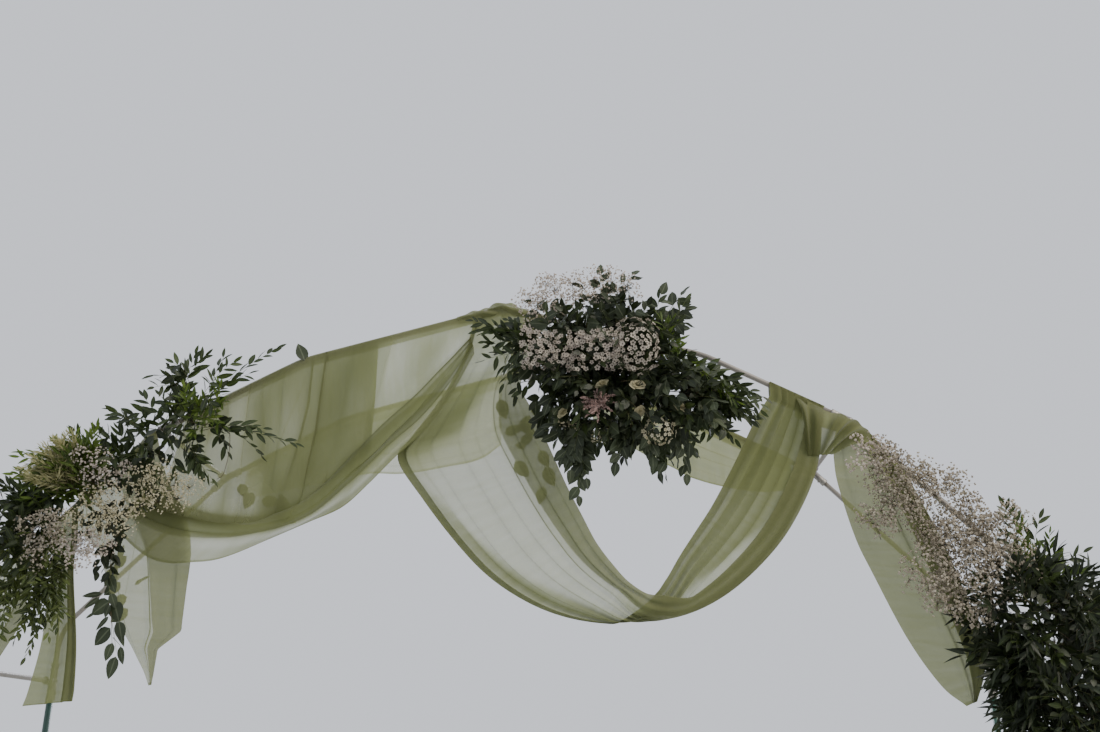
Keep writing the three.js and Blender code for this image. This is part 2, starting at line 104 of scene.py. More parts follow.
def spline(points, shares, byLength=True):
    # Catmull-Rom: each stretch is the cubic through its two ends, with slopes of half the chord
    # over their neighbours; read at shares of its length, or of its count of points
    p = np.asarray(points, float)
    padded = np.vstack([2 * p[0] - p[1], p, 2 * p[-1] - p[-2]])
    steps = np.linspace(0, len(p) - 1, 30 * (len(p) - 1) + 1)
    i = np.minimum(steps.astype(int), len(p) - 2)
    t = (steps - i)[:, None]
    a, b, c, d = padded[i], padded[i + 1], padded[i + 2], padded[i + 3]
    fine = b + 0.5 * t * (c - a + t * (2 * a - 5 * b + 4 * c - d + t * (3 * (b - c) + d - a)))
    run = steps / steps[-1]
    if byLength:
        run = np.r_[0, np.cumsum(np.linalg.norm(np.diff(fine, axis=0), axis=1))]
        run /= run[-1]
    return np.stack([np.interp(shares, run, fine[:, k]) for k in range(p.shape[1])], -1)


def gridFaces(rows, columns, closed=False):
    # the quads of a grid of points, row by row; closed joins the last column to the first
    r, c = np.mgrid[0:rows - 1, 0:columns - (0 if closed else 1)]
    right = (c + 1) % columns
    corners = [r * columns + c, r * columns + right, (r + 1) * columns + right, (r + 1) * columns + c]
    return np.stack(corners, -1).reshape(-1, 4)


def tubeFaces(rows, sides):
    # the wall of a tube of rings, and a many-sided face on each end
    ends = np.stack([np.arange(sides)[::-1], np.arange(sides) + (rows - 1) * sides])
    return [gridFaces(rows, sides, closed=True), ends]


def makePiece(name, points, faces, material, slot, smooth=True, uv=None, **attributes):
    # one mesh from whole arrays of points and of faces (one array for each count of corners)
    points = np.ascontiguousarray(points, float).reshape(-1, 3)
    faceSets = [f for f in (faces if isinstance(faces, list) else [faces]) if len(f)]
    corners = np.concatenate([f.ravel() for f in faceSets]).astype(np.int32)
    counts = np.concatenate([np.full(len(f), f.shape[1]) for f in faceSets])
    starts = np.r_[0, np.cumsum(counts)[:-1]].astype(np.int32)
    mesh = bpy.data.meshes.new(name)
    mesh.vertices.add(len(points))
    mesh.vertices.foreach_set("co", points.ravel())
    mesh.loops.add(len(corners))
    mesh.loops.foreach_set("vertex_index", corners)
    mesh.polygons.add(len(starts))
    mesh.polygons.foreach_set("loop_start", starts)
    mesh.update(calc_edges=True)
    mesh.polygons.foreach_set("use_smooth", np.full(len(starts), smooth))
    for label, values in attributes.items():
        values = np.ascontiguousarray(values, np.float32).ravel()
        mesh.attributes.new(label, "FLOAT", "POINT").data.foreach_set("value", values)
    if uv is not None:
        flat = np.ascontiguousarray(uv.reshape(-1, 2)[corners], np.float32).ravel()
        mesh.uv_layers.new(name="clothMap").data.foreach_set("uv", flat)
    mesh.materials.append(material)
    piece = bpy.data.objects.new(name, mesh)
    bpy.context.scene.collection.objects.link(piece)
    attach(piece, "root")
    return piece


def camel(node):
    # a piece's name from its node's: the words run together, each but the first with a capital
    first, *rest = node.split("_")
    return first + "".join(word.capitalize() for word in rest)


def joined(parts):
    # several (points, faces) pairs as one, each set of faces moved on past the points before it
    points, faces, first = [], [], 0
    for p, f in parts:
        p = np.asarray(p).reshape(-1, 3)
        points.append(p)
        faces += [g + first for g in (f if isinstance(f, list) else [f])]
        first += len(p)
    return np.concatenate(points), faces


hoop = {
    "y": {"front": -0.35, "back": 0.35},
    "apex": (0, 2.77), "kink": (0.72, 2.58), "shoulder": (1.215, 2.325), "spring": (1.82, 1.71),
    "kinkRadius": 0.4, "springRadius": 0.2,
    "fittingHeight": 1.51, "footHeight": 0.0085,
    "topTube": 0.0095, "legTube": 0.0125,
    "inFitting": 0.0225,  # how far short of a fitting's corner a tube ends
}


def bend(before, corner, after, radius, steps=10):
    # an arc of the given radius that touches both straights at a corner
    before, corner, after = (np.array(p, float) for p in (before, corner, after))
    a, b = unit(before - corner), unit(after - corner)
    half = (math.pi - math.acos(a @ b)) / 2
    centre = corner + unit(a + b) * radius / math.cos(half)
    start, end = (corner + v * radius * math.tan(half) - centre for v in (a, b))
    angles = np.linspace(math.atan2(start[1], start[0]), math.atan2(end[1], end[0]), steps)
    return centre + radius * np.stack([np.cos(angles), np.sin(angles)], -1)


legTop = (hoop["spring"][0], hoop["fittingHeight"])
crownBend = bend(hoop["apex"], hoop["kink"], hoop["shoulder"], hoop["kinkRadius"])
haunchBend = bend(hoop["shoulder"], hoop["spring"], legTop, hoop["springRadius"])
crownLine = np.vstack([hoop["apex"], crownBend, hoop["shoulder"]])
haunchLine = np.vstack([hoop["shoulder"], haunchBend, legTop])
hoopLine = np.vstack([crownLine, haunchLine[1:]])


def shortened(line, gap):
    # a line that stops a gap short of both its ends
    first, last = unit(line[1] - line[0]), unit(line[-2] - line[-1])
    return np.vstack([line[0] + gap * first, line[1:-1], line[-1] + gap * last])


def sweptTube(path, radius, sides=28):
    # a circle carried along a path: each ring is the path's point + r (cos a * across + sin a * up)
    path = np.asarray(path, float)
    along = unit(np.gradient(path, axis=0))
    across = np.array([1.0, 0, 0]) if abs(along[0, 1]) > 0.9 else np.array([0, 1.0, 0])
    across = unit(across - (along @ across)[:, None] * along)
    up = np.cross(along, across)
    turn = np.linspace(0, 2 * np.pi, sides, endpoint=False)
    radius = np.broadcast_to(radius, len(path))[:, None, None]
    rings = path[:, None] + radius * (np.cos(turn)[:, None] * across[:, None]
                                      + np.sin(turn)[:, None] * up[:, None])
    return rings, tubeFaces(len(path), sides)


def turned(profile, origin, axis, sides=28):
    # a profile of (distance, radius) points spun about an axis, closed where its radius is 0
    profile = np.asarray(profile, float)
    axis = unit(np.asarray(axis, float))
    across = unit(np.cross(axis, [0.31, 0.87, 0.4]))
    up = np.cross(axis, across)
    turn = np.linspace(0, 2 * np.pi, sides, endpoint=False)
    ring = np.cos(turn)[:, None] * across + np.sin(turn)[:, None] * up
    radii = np.maximum(profile[:, 1], 1e-5)[:, None, None]
    points = np.asarray(origin) + profile[:, :1, None] * axis + radii * ring
    return points, tubeFaces(len(profile), sides)


def paintedSteel(name, base, worn, roughness, coat):
    # satin paint on drawn steel tube: an even colour with a faint orange-peel skin, slightly
    # darker in blotches of dust and handling, and a few small chips where metal shows dull
    material, tree = newMaterial(name)
    where = addNode(tree, "TexCoord").outputs["Object"]
    dust = addNode(tree, "TexNoise", {"Vector": where, "Scale": 9.0, "Detail": 6.0, "Roughness": 0.65})
    chips = addNode(tree, "TexNoise", {"Vector": where, "Scale": 160.0, "Detail": 3.0})  # 6 mm chips
    chipped = addNode(tree, "MapRange", {"Value": chips, "From Min": 0.70, "From Max": 0.74})
    toned = addNode(tree, "ValToRGB", {"Fac": dust}, stops=[(0.3, base), (0.75, worn)])
    colour = addNode(tree, "Mix", {0: chipped, 6: toned, 7: "#6f6a62"}, data_type="RGBA")
    peel = addNode(tree, "TexNoise", {"Vector": where, "Scale": 900.0, "Detail": 2.0})  # about 1 mm
    bump = addNode(tree, "Bump", {"Height": peel, "Strength": 0.12, "Distance": 0.0004})
    gloss = addNode(tree, "MapRange", {"Value": dust, "To Min": roughness - 0.06, "To Max": roughness + 0.12})
    shader = addNode(tree, "BsdfPrincipled", {"Base Color": colour, "Roughness": gloss, "IOR": 1.5,
                                              "Coat Weight": coat, "Coat Roughness": 0.25, "Normal": bump})
    addNode(tree, "OutputMaterial", {"Surface": shader})
    return material


def castIron():
    # galvanised malleable iron, as scaffold key clamps: mid grey, spangled, grainy from the sand
    material, tree = newMaterial("galvanisedMalleableIron")
    where = addNode(tree, "TexCoord").outputs["Object"]
    spangle = addNode(tree, "TexVoronoi", {"Vector": where, "Scale": 240.0}).outputs["Color"]  # 4 mm zinc spangle
    tone = addNode(tree, "ValToRGB", {"Fac": spangle}, stops=[(0.1, "#7c7a76"), (0.9, "#a19e98")])
    sand = addNode(tree, "TexNoise", {"Vector": where, "Scale": 700.0, "Detail": 4.0})
    bump = addNode(tree, "Bump", {"Height": sand, "Strength": 0.35, "Distance": 0.0006})
    shader = addNode(tree, "BsdfPrincipled", {"Base Color": tone, "Metallic": 0.75, "Roughness": 0.52,
                                              "Normal": bump})
    addNode(tree, "OutputMaterial", {"Surface": shader})
    return material


def plateSteel():
    # hot-rolled plate under dull dark paint, scuffed by boots and dusty in patches
    material, tree = newMaterial("paintedPlateSteel")
    where = addNode(tree, "TexCoord").outputs["Object"]
    scuff = addNode(tree, "TexNoise", {"Vector": where, "Scale": 22.0, "Detail": 8.0, "Roughness": 0.7})
    tone = addNode(tree, "ValToRGB", {"Fac": scuff}, stops=[(0.35, "#343936"), (0.62, "#464a45"), (0.8, "#6d6a60")])
    scale = addNode(tree, "TexNoise", {"Vector": where, "Scale": 300.0, "Detail": 4.0})
    bump = addNode(tree, "Bump", {"Height": scale, "Strength": 0.3, "Distance": 0.0008})
    shader = addNode(tree, "BsdfPrincipled", {"Base Color": tone, "Roughness": 0.62, "IOR": 1.5, "Normal": bump})
    addNode(tree, "OutputMaterial", {"Surface": shader})
    return material


greyPaint = paintedSteel("greyPaintedTube", "#8f8a82", "#7a756d", 0.45, 0.1)
greenPaint = paintedSteel("greenPaintedTube", "#1d4a3c", "#173a30", 0.4, 0.3)
zincIron = castIron()
platePaint = plateSteel()


def greyTube(node, path):
    # a thin tube along a path, shown instead of its CAD solid
    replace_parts(makePiece(camel(node), *sweptTube(path, hoop["topTube"]), greyPaint, "grey_tube"), node)


def buildTubes():
    # each hoop's tubes follow its line, mirrored for the left (x times -1), and stop short of the
    # fittings; the rails run straight back from hoop to hoop
    gap, (front, back) = hoop["inFitting"], hoop["y"].values()
    for end, y in hoop["y"].items():
        for hand, side in hands.items():
            for part, line in (("crown", crownLine), ("haunch", haunchLine)):
                greyTube(f"{end}_{hand}_{part}_tube", atDepth(shortened(line, gap) * [side, 1], y))
            node = f"{end}_{hand}_leg"
            path = [[side * legTop[0], y, z] for z in (hoop["footHeight"], 0.5, 1.0, legTop[1] - gap)]
            tube = sweptTube(path, hoop["legTube"])
            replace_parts(makePiece(camel(node) + "Tube", *tube, greenPaint, "green_tube"), node)
    rails = {"ridge_rail": hoop["apex"]}
    for spot, (x, z) in (("shoulder", hoop["shoulder"]), ("spring", legTop)):
        rails.update({f"{hand}_{spot}_rail": (side * x, z) for hand, side in hands.items()})
    for node, (x, z) in rails.items():
        greyTube(node, [[x, y, z] for y in np.linspace(front + gap, back - gap, 4)])


fitting = {
    "arm": 0.070, "boss": 0.062, "barrel": 0.0134, "collar": 0.0148,
    "legBarrel": 0.0164, "legCollar": 0.0178, "collarLength": 0.013,
    "screwAt": 0.045, "bossScrewAt": 0.038,
    "ball": 0.0136, "ballGrowth": {"apex": 1.08, "shoulder": 1.08, "spring": 1.25},  # where the arms meet
}


def armProfile(reach, barrel, collar, bore):
    # along the arm: barrel, a rounded step up to the collar, and in at the mouth to the tube
    start = reach - fitting["collarLength"]
    return [(-0.004, 0), (-0.004, barrel), (start - 0.004, barrel), (start - 0.001, (barrel + collar) / 2),
            (start + 0.001, collar), (reach - 0.0015, collar), (reach - 0.0003, collar - 0.0006),
            (reach, collar - 0.0018), (reach, bore + 0.0003), (reach - 0.012, bore + 0.0001), (reach - 0.012, 0)]


def grubScrew(at, outward):
    # a socket set screw: head, chamfer and the recess for the key
    profile = [(-0.004, 0), (-0.004, 0.0036), (0.0024, 0.0036), (0.0030, 0.0030), (0.0030, 0.0018),
               (0.0012, 0.0016), (0.0012, 0)]
    return turned(profile, at, outward, sides=12)


def fittingParts(spot, corner, towards, side, y):
    # an arm along each tube and a boss for the rail, spun from their profiles, on a ball
    origin = np.array([side * corner[0], y, corner[1]])
    parts = []
    for number, target in enumerate(towards):
        dx, dz = unit(np.array(target, float) - corner)
        axis = np.array([side * dx, 0, dz])
        leg = spot == "spring" and number == 1
        barrel, collar = [fitting[k] for k in (("legBarrel", "legCollar") if leg else ("barrel", "collar"))]
        bore = hoop["legTube"] if leg else hoop["topTube"]
        parts.append(turned(armProfile(fitting["arm"], barrel, collar, bore), origin, axis))
        under = unit(np.cross(axis, [0, 1, 0]))
        under = under if under[2] < 0 or spot == "spring" else -under
        parts.append(grubScrew(origin + axis * fitting["screwAt"] + under * barrel, under))
    boss, down = np.array([0, -math.copysign(1, y), 0]), np.array([0, 0, -1])
    profile = armProfile(fitting["boss"], fitting["barrel"], fitting["collar"], hoop["topTube"])
    parts.append(turned(profile, origin, boss))
    parts.append(grubScrew(origin + boss * fitting["bossScrewAt"] + down * fitting["barrel"], down))
    ball = [(fitting["ball"] * math.sin(a), fitting["ball"] * math.cos(a))
            for a in np.linspace(-math.pi / 2, math.pi / 2, 13)]
    parts.append(turned(np.array(ball) * fitting["ballGrowth"][spot], origin, [0, 0, 1]))
    return parts


def buildFittings():
    # a fitting at each corner of both hoops, its arms towards the corners next to it
    kinkLeft = (-hoop["kink"][0], hoop["kink"][1])
    corners = {"apex": (hoop["apex"], hoop["kink"], kinkLeft),
               "shoulder": (hoop["shoulder"], hoop["kink"], hoop["spring"]),
               "spring": (legTop, (legTop[0], 2), (legTop[0], 1))}
    for end, y in hoop["y"].items():
        for spot, (corner, *towards) in corners.items():
            for hand, side in {"": 1}.items() if spot == "apex" else hands.items():
                node = "_".join(word for word in (end, hand, spot, "fitting") if word)
                parts = fittingParts(spot, np.array(corner, float), towards, side, y)
                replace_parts(makePiece(camel(node), *joined(parts), zincIron, "cast_fitting"), node)


plateTrim = {"socketRadius": 0.0165, "bead": 0.0032, "ripple": 0.12, "plateTop": 0.008, "boltHeight": 0.06}


def buildPlateTrim():
    # a fillet of weld round each socket, a rippled ring, and a hexagon bolt that clamps the leg
    turn, ring = np.linspace(0, 2 * np.pi, 61)[:-1, None], np.linspace(0, 2 * np.pi, 9)[:-1]
    r = plateTrim["bead"]
    thick = r * (1 + plateTrim["ripple"] * np.sin(turn * 22))
    wide = plateTrim["socketRadius"] + 0.4 * r + thick * np.cos(ring)
    bead = np.stack([np.cos(turn) * wide, np.sin(turn) * wide,
                     plateTrim["plateTop"] + 0.4 * r + thick * np.sin(ring)], -1)
    bead = np.concatenate([bead, bead[:1]])
    for end, y in hoop["y"].items():
        for hand, side in hands.items():
            origin, out = np.array([side * legTop[0], y, 0]), np.array([side, 0, 0])
            at = origin + out * (plateTrim["socketRadius"] - 0.001) + np.array([0, 0, plateTrim["boltHeight"]])
            head = turned([(0, 0), (0, 0.0085), (0.0050, 0.0085), (0.0056, 0.0078), (0.0056, 0)], at, out, sides=6)
            washer = turned([(-0.001, 0), (-0.001, 0.0105), (0.0016, 0.0105), (0.0016, 0)], at, out, sides=20)
            parts = [(bead + origin, gridFaces(len(bead), 8, closed=True)), head, washer]
            makePiece(f"{end}{hand.capitalize()}PlateTrim", *joined(parts), zincIron, "base_plate", smooth=False)
    for name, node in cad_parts.items():
        if name.endswith("_base_plate"):
            node.data.materials.clear()
            node.data.materials.append(platePaint)


buildTubes()
buildFittings()
buildPlateTrim()
print("frame: tubes, fittings and plate trim made")


def sheerChiffon():
    # plain-woven polyester chiffon: thin crepe threads with gaps between, so that the sky shows through one layer,
    # folds look denser, and light from behind makes it glow; the colour is painted darker and greener with the
    # layers, as painted shade in folds and gathers
    material, tree = newMaterial("sageChiffon")
    flat = addNode(tree, "UVMap", uv_map="clothMap").outputs["UV"]
    layers = addNode(tree, "Attribute", attribute_name="layers").outputs["Fac"]
    # the 0.3 mm threads are too fine to show, so a 3 mm weave and streaks of 20 by 150 mm stand in
    weave = {"Vector": flat, "Scale": 105.0, "Distortion": 1.5, "Detail": 2.0, "Detail Scale": 3.0}
    warp, weft = (addNode(tree, "TexWave", weave, wave_type="BANDS", bands_direction=way).outputs["Fac"]
                  for way in "XY")
    woven = addNode(tree, "Math", {0: warp, 1: weft}, operation="ADD")
    stretched = addNode(tree, "Mapping", {"Vector": flat, "Scale": (52.0, 7.0, 1.0)})
    streak = addNode(tree, "TexNoise", {"Vector": stretched, "Scale": 1.0, "Detail": 4.0, "Roughness": 0.6})
    crinkle = addNode(tree, "TexNoise", {"Vector": flat, "Scale": 38.0, "Detail": 5.0, "Roughness": 0.55})
    # the share of light one layer lets past, to the power of the layers
    gaps = addNode(tree, "MapRange", {"Value": streak, "From Min": 0.3, "From Max": 0.7,
                                      "To Min": 0.50, "To Max": 0.41})
    past = addNode(tree, "Math", {0: gaps, 1: layers}, operation="POWER")
    # painted shade: with each layer more the colour is painted darker and greener, for the light that crumpled layers
    # let through less, so that gathers look darker
    dense = addNode(tree, "MapRange", {"Value": layers, "From Min": 1.0, "From Max": 5.0})
    shade = addNode(tree, "ValToRGB", {"Fac": dense},
                    stops=[(0.0, "#9b9e72"), (0.25, "#8b9062"), (0.55, "#787d50"), (1.0, "#686d42")])
    mottled = addNode(tree, "Mix", {0: crinkle, 6: shade, 7: "#898e61"}, data_type="RGBA")
    toned = addNode(tree, "Mix", {0: 0.75, 6: mottled, 7: shade}, data_type="RGBA")
    relief = addNode(tree, "Math", {0: crinkle, 1: woven}, operation="ADD")
    bump = addNode(tree, "Bump", {"Height": relief, "Strength": 0.25, "Distance": 0.0012})
    face = addNode(tree, "BsdfPrincipled", {
        "Base Color": toned, "Roughness": 0.78, "IOR": 1.5, "Specular IOR Level": 0.25,
        "Sheen Weight": 0.35, "Sheen Roughness": 0.4, "Normal": bump})
    glow = addNode(tree, "BsdfTranslucent", {"Color": toned, "Normal": bump})
    threads = addNode(tree, "MixShader", {0: 0.5, 1: face, 2: glow})
    clear = addNode(tree, "BsdfTransparent", {"Color": "#ffffff"})
    cloth = addNode(tree, "MixShader", {0: past, 1: threads, 2: clear})
    addNode(tree, "OutputMaterial", {"Surface": cloth})
    return material


chiffon = sheerChiffon()


def clothNet(guides, levels, byLength=True, along=241, across=121):
    # splines one way, and across them cubics whose slopes come from the neighbouring guides
    rows = np.stack([spline(g, np.linspace(0, 1, along), byLength) for g in guides])
    levels = np.asarray(levels, float)
    chord = np.diff(rows, axis=0) / np.diff(levels)[:, None, None]
    inner = (rows[2:] - rows[:-2]) / (levels[2:] - levels[:-2])[:, None, None]
    slope = np.concatenate([chord[:1], inner, chord[-1:]])
    c = np.linspace(0, 1, across)
    i = np.clip(np.searchsorted(levels, c, side="right") - 1, 0, len(levels) - 2)
    gap = (levels[i + 1] - levels[i])[:, None, None]
    t = ((c - levels[i]) / (levels[i + 1] - levels[i]))[:, None, None]
    return ((2 * t**3 - 3 * t**2 + 1) * rows[i] + (t**3 - 2 * t**2 + t) * gap * slope[i]
            + (3 * t**2 - 2 * t**3) * rows[i + 1] + (t**3 - t**2) * gap * slope[i + 1])


def readNet(net, s, c):
    # the point at share s along and c across, straight between the net's four nearest points
    fs, fc = np.clip(s, 0, 1) * (net.shape[1] - 1), np.clip(c, 0, 1) * (net.shape[0] - 1)
    i, j = np.minimum(fc.astype(int), net.shape[0] - 2), np.minimum(fs.astype(int), net.shape[1] - 2)
    u, v = (fc - i)[..., None], (fs - j)[..., None]
    return ((1 - u) * ((1 - v) * net[i, j] + v * net[i, j + 1])
            + u * ((1 - v) * net[i + 1, j] + v * net[i + 1, j + 1]))


def pleated(share, along, folds):
    # A fold is (line, width, pull, lift, crush), the first three read at even steps along it. It
    # draws the cloth back over itself: with t the distance to its line over its width, the share
    # loses pull * width * t * exp(-t*t), and the cloth steps lift * t * exp(-t*t / 3) through its
    # own plane; crush is what is crumpled too finely to be drawn and only counts as layers
    moved, depth, layers = np.array(share, float), np.zeros(share.shape), np.zeros(share.shape)
    for *lines, lift, crush in folds:
        line, width, pull = (np.interp(along, np.linspace(0, 1, len(v)), v) for v in lines)
        t = (share - line) / width
        moved -= pull * width * t * np.exp(-t * t)
        depth += np.minimum(pull, 1.5) * lift * t * np.exp(-t * t / 3)
        layers += np.minimum(pull, 1.5) * crush * np.exp(-2 * t * t)
    return moved, depth, layers


def overTube(x, y, turn, radius):
    # a point near the tube: its axis above x, plus the radius turned from the front (0) over the
    # top (pi / 2) to the back (pi)
    slopeX, slopeZ = np.diff(hoopLine, axis=0).T
    middle = (hoopLine[1:, 0] + hoopLine[:-1, 0]) / 2
    angle = np.interp(np.abs(x), middle, np.arctan2(slopeZ, slopeX))
    axisZ = np.interp(np.abs(x), hoopLine[:, 0], hoopLine[:, 1])
    up = radius * np.sin(turn)
    near = [x - np.sign(x) * up * np.sin(angle), y - radius * np.cos(turn), axisZ + up * np.cos(angle)]
    return np.stack(np.broadcast_arrays(*near), -1)


def hangCloth(name, points, layers, flat, held, restsOn, nodes=()):
    # a grid of cloth as a piece, with its map in metres of flat cloth and its front towards -Y;
    # its area is half the cross product of each quad's diagonals
    along = np.cumsum(np.linalg.norm(np.diff(points, axis=1, prepend=points[:, :1]), axis=-1), axis=1)
    down = np.cumsum(np.linalg.norm(np.diff(points, axis=0, prepend=points[:1]), axis=-1), axis=0)
    uv = np.stack(np.broadcast_arrays(along.mean(0), down.mean(1)[:, None]), -1)
    facing = np.cross(points[1:, 1:] - points[:-1, :-1], points[1:, :-1] - points[:-1, 1:])
    faces = gridFaces(*points.shape[:2])
    if facing[..., 1].sum() > 0:
        faces = faces[:, ::-1]
    piece = makePiece(name, points, faces, chiffon, "chiffon", uv=uv, layers=layers)
    if nodes:
        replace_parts(piece, *nodes)
    area = np.linalg.norm(facing, axis=-1).sum() / 2
    print(f"{name}: {area:.3f} m2 of cloth, {area / (flat[0] * flat[1]):.2f} of its flat cut")


def hookRows(x, y, radius, backDrop, rows=7):
    # the rows of a sheet that go from a hem behind the tube over it to its front
    over = overTube(x[None], y, np.linspace(math.pi, 0, rows)[:, None], radius)
    drops = np.linspace(1, 0, 5)[:-1]
    behind = over[:1] - np.array([0, 0, 1.0]) * (backDrop * drops)[:, None, None]
    if y > 0:
        behind[..., 1] = y + radius
    return np.concatenate([behind, over])


def hooked(points, layers, hook):
    # a sheet and its layers with the rows of a hook before its first row
    return np.concatenate([hook, points]), np.concatenate([np.tile(layers[:1], (len(hook), 1)), layers])


leftSwag = {
    "pole": (-0.066, -1.128),
    "bandTop": [(-0.11, 2.652), (-0.217, 2.527), (-0.309, 2.42), (-0.403, 2.333), (-0.503, 2.229), (-0.6, 2.13),
                (-0.698, 2.054), (-0.809, 2.014), (-0.919, 2.008), (-1.024, 2.023), (-1.151, 2.059), (-1.25, 2.1)],
    "bandFoot": [(-0.1, 2.609), (-0.191, 2.448), (-0.278, 2.324), (-0.362, 2.239), (-0.437, 2.161), (-0.525, 2.078),
                 (-0.623, 1.999), (-0.722, 1.956), (-0.822, 1.933), (-0.924, 1.924), (-1.045, 1.935), (-1.151, 1.96),
                 (-1.3, 2.03)],
    "edge": [(-0.098, 2.586), (-0.175, 2.43), (-0.258, 2.299), (-0.358, 2.197), (-0.446, 2.103), (-0.533, 2.024),
             (-0.645, 1.973), (-0.777, 1.917), (-0.933, 1.854), (-1.04, 1.842), (-1.12, 1.842), (-1.2, 1.87),
             (-1.29, 1.94), (-1.37, 2.03)],
    "levels": (0, 0.6, 0.82, 1),
    "belly": 0.045, "bulges": {"bandTop": 0.55, "bandFoot": 1.0, "edge": 0.8},   # shares of the belly
    "radius": 0.0125, "backDrop": 0.022, "offTube": 0.006, "ripple": 0.004,
    "forward": (0.018, 0.22, 0.16),   # goes out in front of the centre swag: depth, place, width
    "crumple": (2.6, 2.0, 0.7),   # layers of the band: everywhere, more in the middle, in streaks
    # folds that run with the swag, from the gather at the crown to the left end: line, width,
    # pull, lift and crush
    "lengthwise": [
        ((0.6, 0.6, 0.61, 0.6), (0.02, 0.045, 0.06, 0.05), (1.4, 1.7, 1.5, 0.8), 0.011, 0.5),
        ((0.66, 0.65, 0.66, 0.7), (0.02, 0.03, 0.04, 0.04), (1.4, 1.3, 1.1, 1.3), 0.008, 0.4),
        ((0.7, 0.72, 0.71, 0.66), (0.025, 0.045, 0.045, 0.03), (1.4, 1.9, 1.6, 0.6), 0.01, 0.5),
        ((0.76, 0.755, 0.77, 0.79), (0.02, 0.03, 0.035, 0.04), (1.4, 1.0, 1.4, 1.6), 0.009, 0.4),
        ((0.81, 0.8, 0.82, 0.86), (0.03, 0.045, 0.04, 0.035), (1.5, 1.7, 1.5, 1.0), 0.01, 0.4),
        ((0.88, 0.87, 0.9, 0.92), (0.02, 0.03, 0.035, 0.035), (1.0, 0.9, 0.6, 1.0), 0.007, 0.25),
    ],
    # soft folds that fall from the tube
    "falling": [
        ((0.3, 0.33, 0.4, 0.46), (0.05, 0.06, 0.06, 0.05), (0.9, 0.9, 0.7, 0.4), 0.008, 0.6),
        ((0.52, 0.545, 0.6, 0.66), (0.035, 0.045, 0.05, 0.05), (1.4, 1.4, 1.0, 0.4), 0.008, 0.8),
        ((0.66, 0.66, 0.68, 0.7), (0.03, 0.035, 0.04, 0.04), (0.9, 0.9, 0.6, 0.2), 0.006, 0.4),
        ((0.78, 0.76, 0.73, 0.71), (0.025, 0.03, 0.034, 0.04), (1.2, 1.1, 0.8, 0.2), 0.006, 0.5),
        ((0.9, 0.87, 0.82, 0.79), (0.025, 0.03, 0.034, 0.04), (1.2, 1.1, 0.7, 0.2), 0.006, 0.5),
    ],
    "flat": (0.72, 1.25),
}


def buildLeftSwag():
    # guides: the tube and three lines, pushed forward by the belly; splines along them, cubics
    # across, and the folds of both directions drawn over that
    swag, y = leftSwag, hoop["y"]["front"]
    top = overTube(np.linspace(*swag["pole"], 24), y, 0.0, swag["radius"])
    guides, (depth, place, width) = [top], swag["forward"]
    for name, bulge in swag["bulges"].items():
        share = np.linspace(0, 1, len(swag[name]))
        out = swag["belly"] * bulge * np.sin(np.pi * np.clip(share, 0.03, 1)) ** 0.7
        out = out + depth * bell(share, place, width)
        guides.append(atDepth(swag[name], top[0, 1] - (swag["offTube"] + out)))
    net = clothNet(guides, swag["levels"])
    rows = [np.linspace(0, 0.5, 36), np.linspace(0.5, 0.97, 104)[1:], np.linspace(0.97, 1, 6)[1:]]
    s0, c0 = np.meshgrid(np.linspace(0, 1, 221), np.concatenate(rows))
    s, fallDepth, fallLayers = pleated(s0, c0, swag["falling"])
    c, runDepth, runLayers = pleated(c0, s0, swag["lengthwise"])
    points = readNet(net, s, c)
    ripple = swag["ripple"] * np.sin(s0 * 61 + 1.3 * np.sin(c0 * 5)) * np.exp(-3 * c0) * np.minimum(1, c0 * 12)
    points[..., 1] -= (fallDepth + runDepth + ripple) * np.minimum(1, c0 * 10)
    hem = 1 + (c0 > 0.985)
    # crushed most where the band crosses the middle, one plain layer below it, a turned-up foot
    even, middle, streaks = swag["crumple"]
    band = even + middle * bell(s0, 0.58, 0.26) + streaks * np.sin(95 * c0 + 3 * s0)
    crumple = band * between(c0, 0.575, 0.83, 0.012)
    waves = 0.35 * np.sin(19 * s0 - 5 * c0) + 0.25 * np.sin(37 * s0 + 4 * c0)
    upper = (1.0 + waves) * between(c0, -0.3, 0.575, 0.015) * (1 - 0.9 * ramp(s0, 0.66, 0.12))
    foot = (0.6 * ramp(s0, 0.62, -0.2) * between(c0, 0.82, 1.1, 0.008)
            + 1.1 * between(c0, 0.925, 1.1, 0.008) * bell(s0, 0.45, 0.35))
    layers = hem + fallLayers + runLayers + crumple + upper + foot
    hook = hookRows(points[0, :, 0], y, swag["radius"], swag["backDrop"])[:-1]
    hangCloth("leftSwag", *hooked(points, layers, hook), swag["flat"], "gathered", ["frontLeftCrownTube"],
              ["left_swag"])


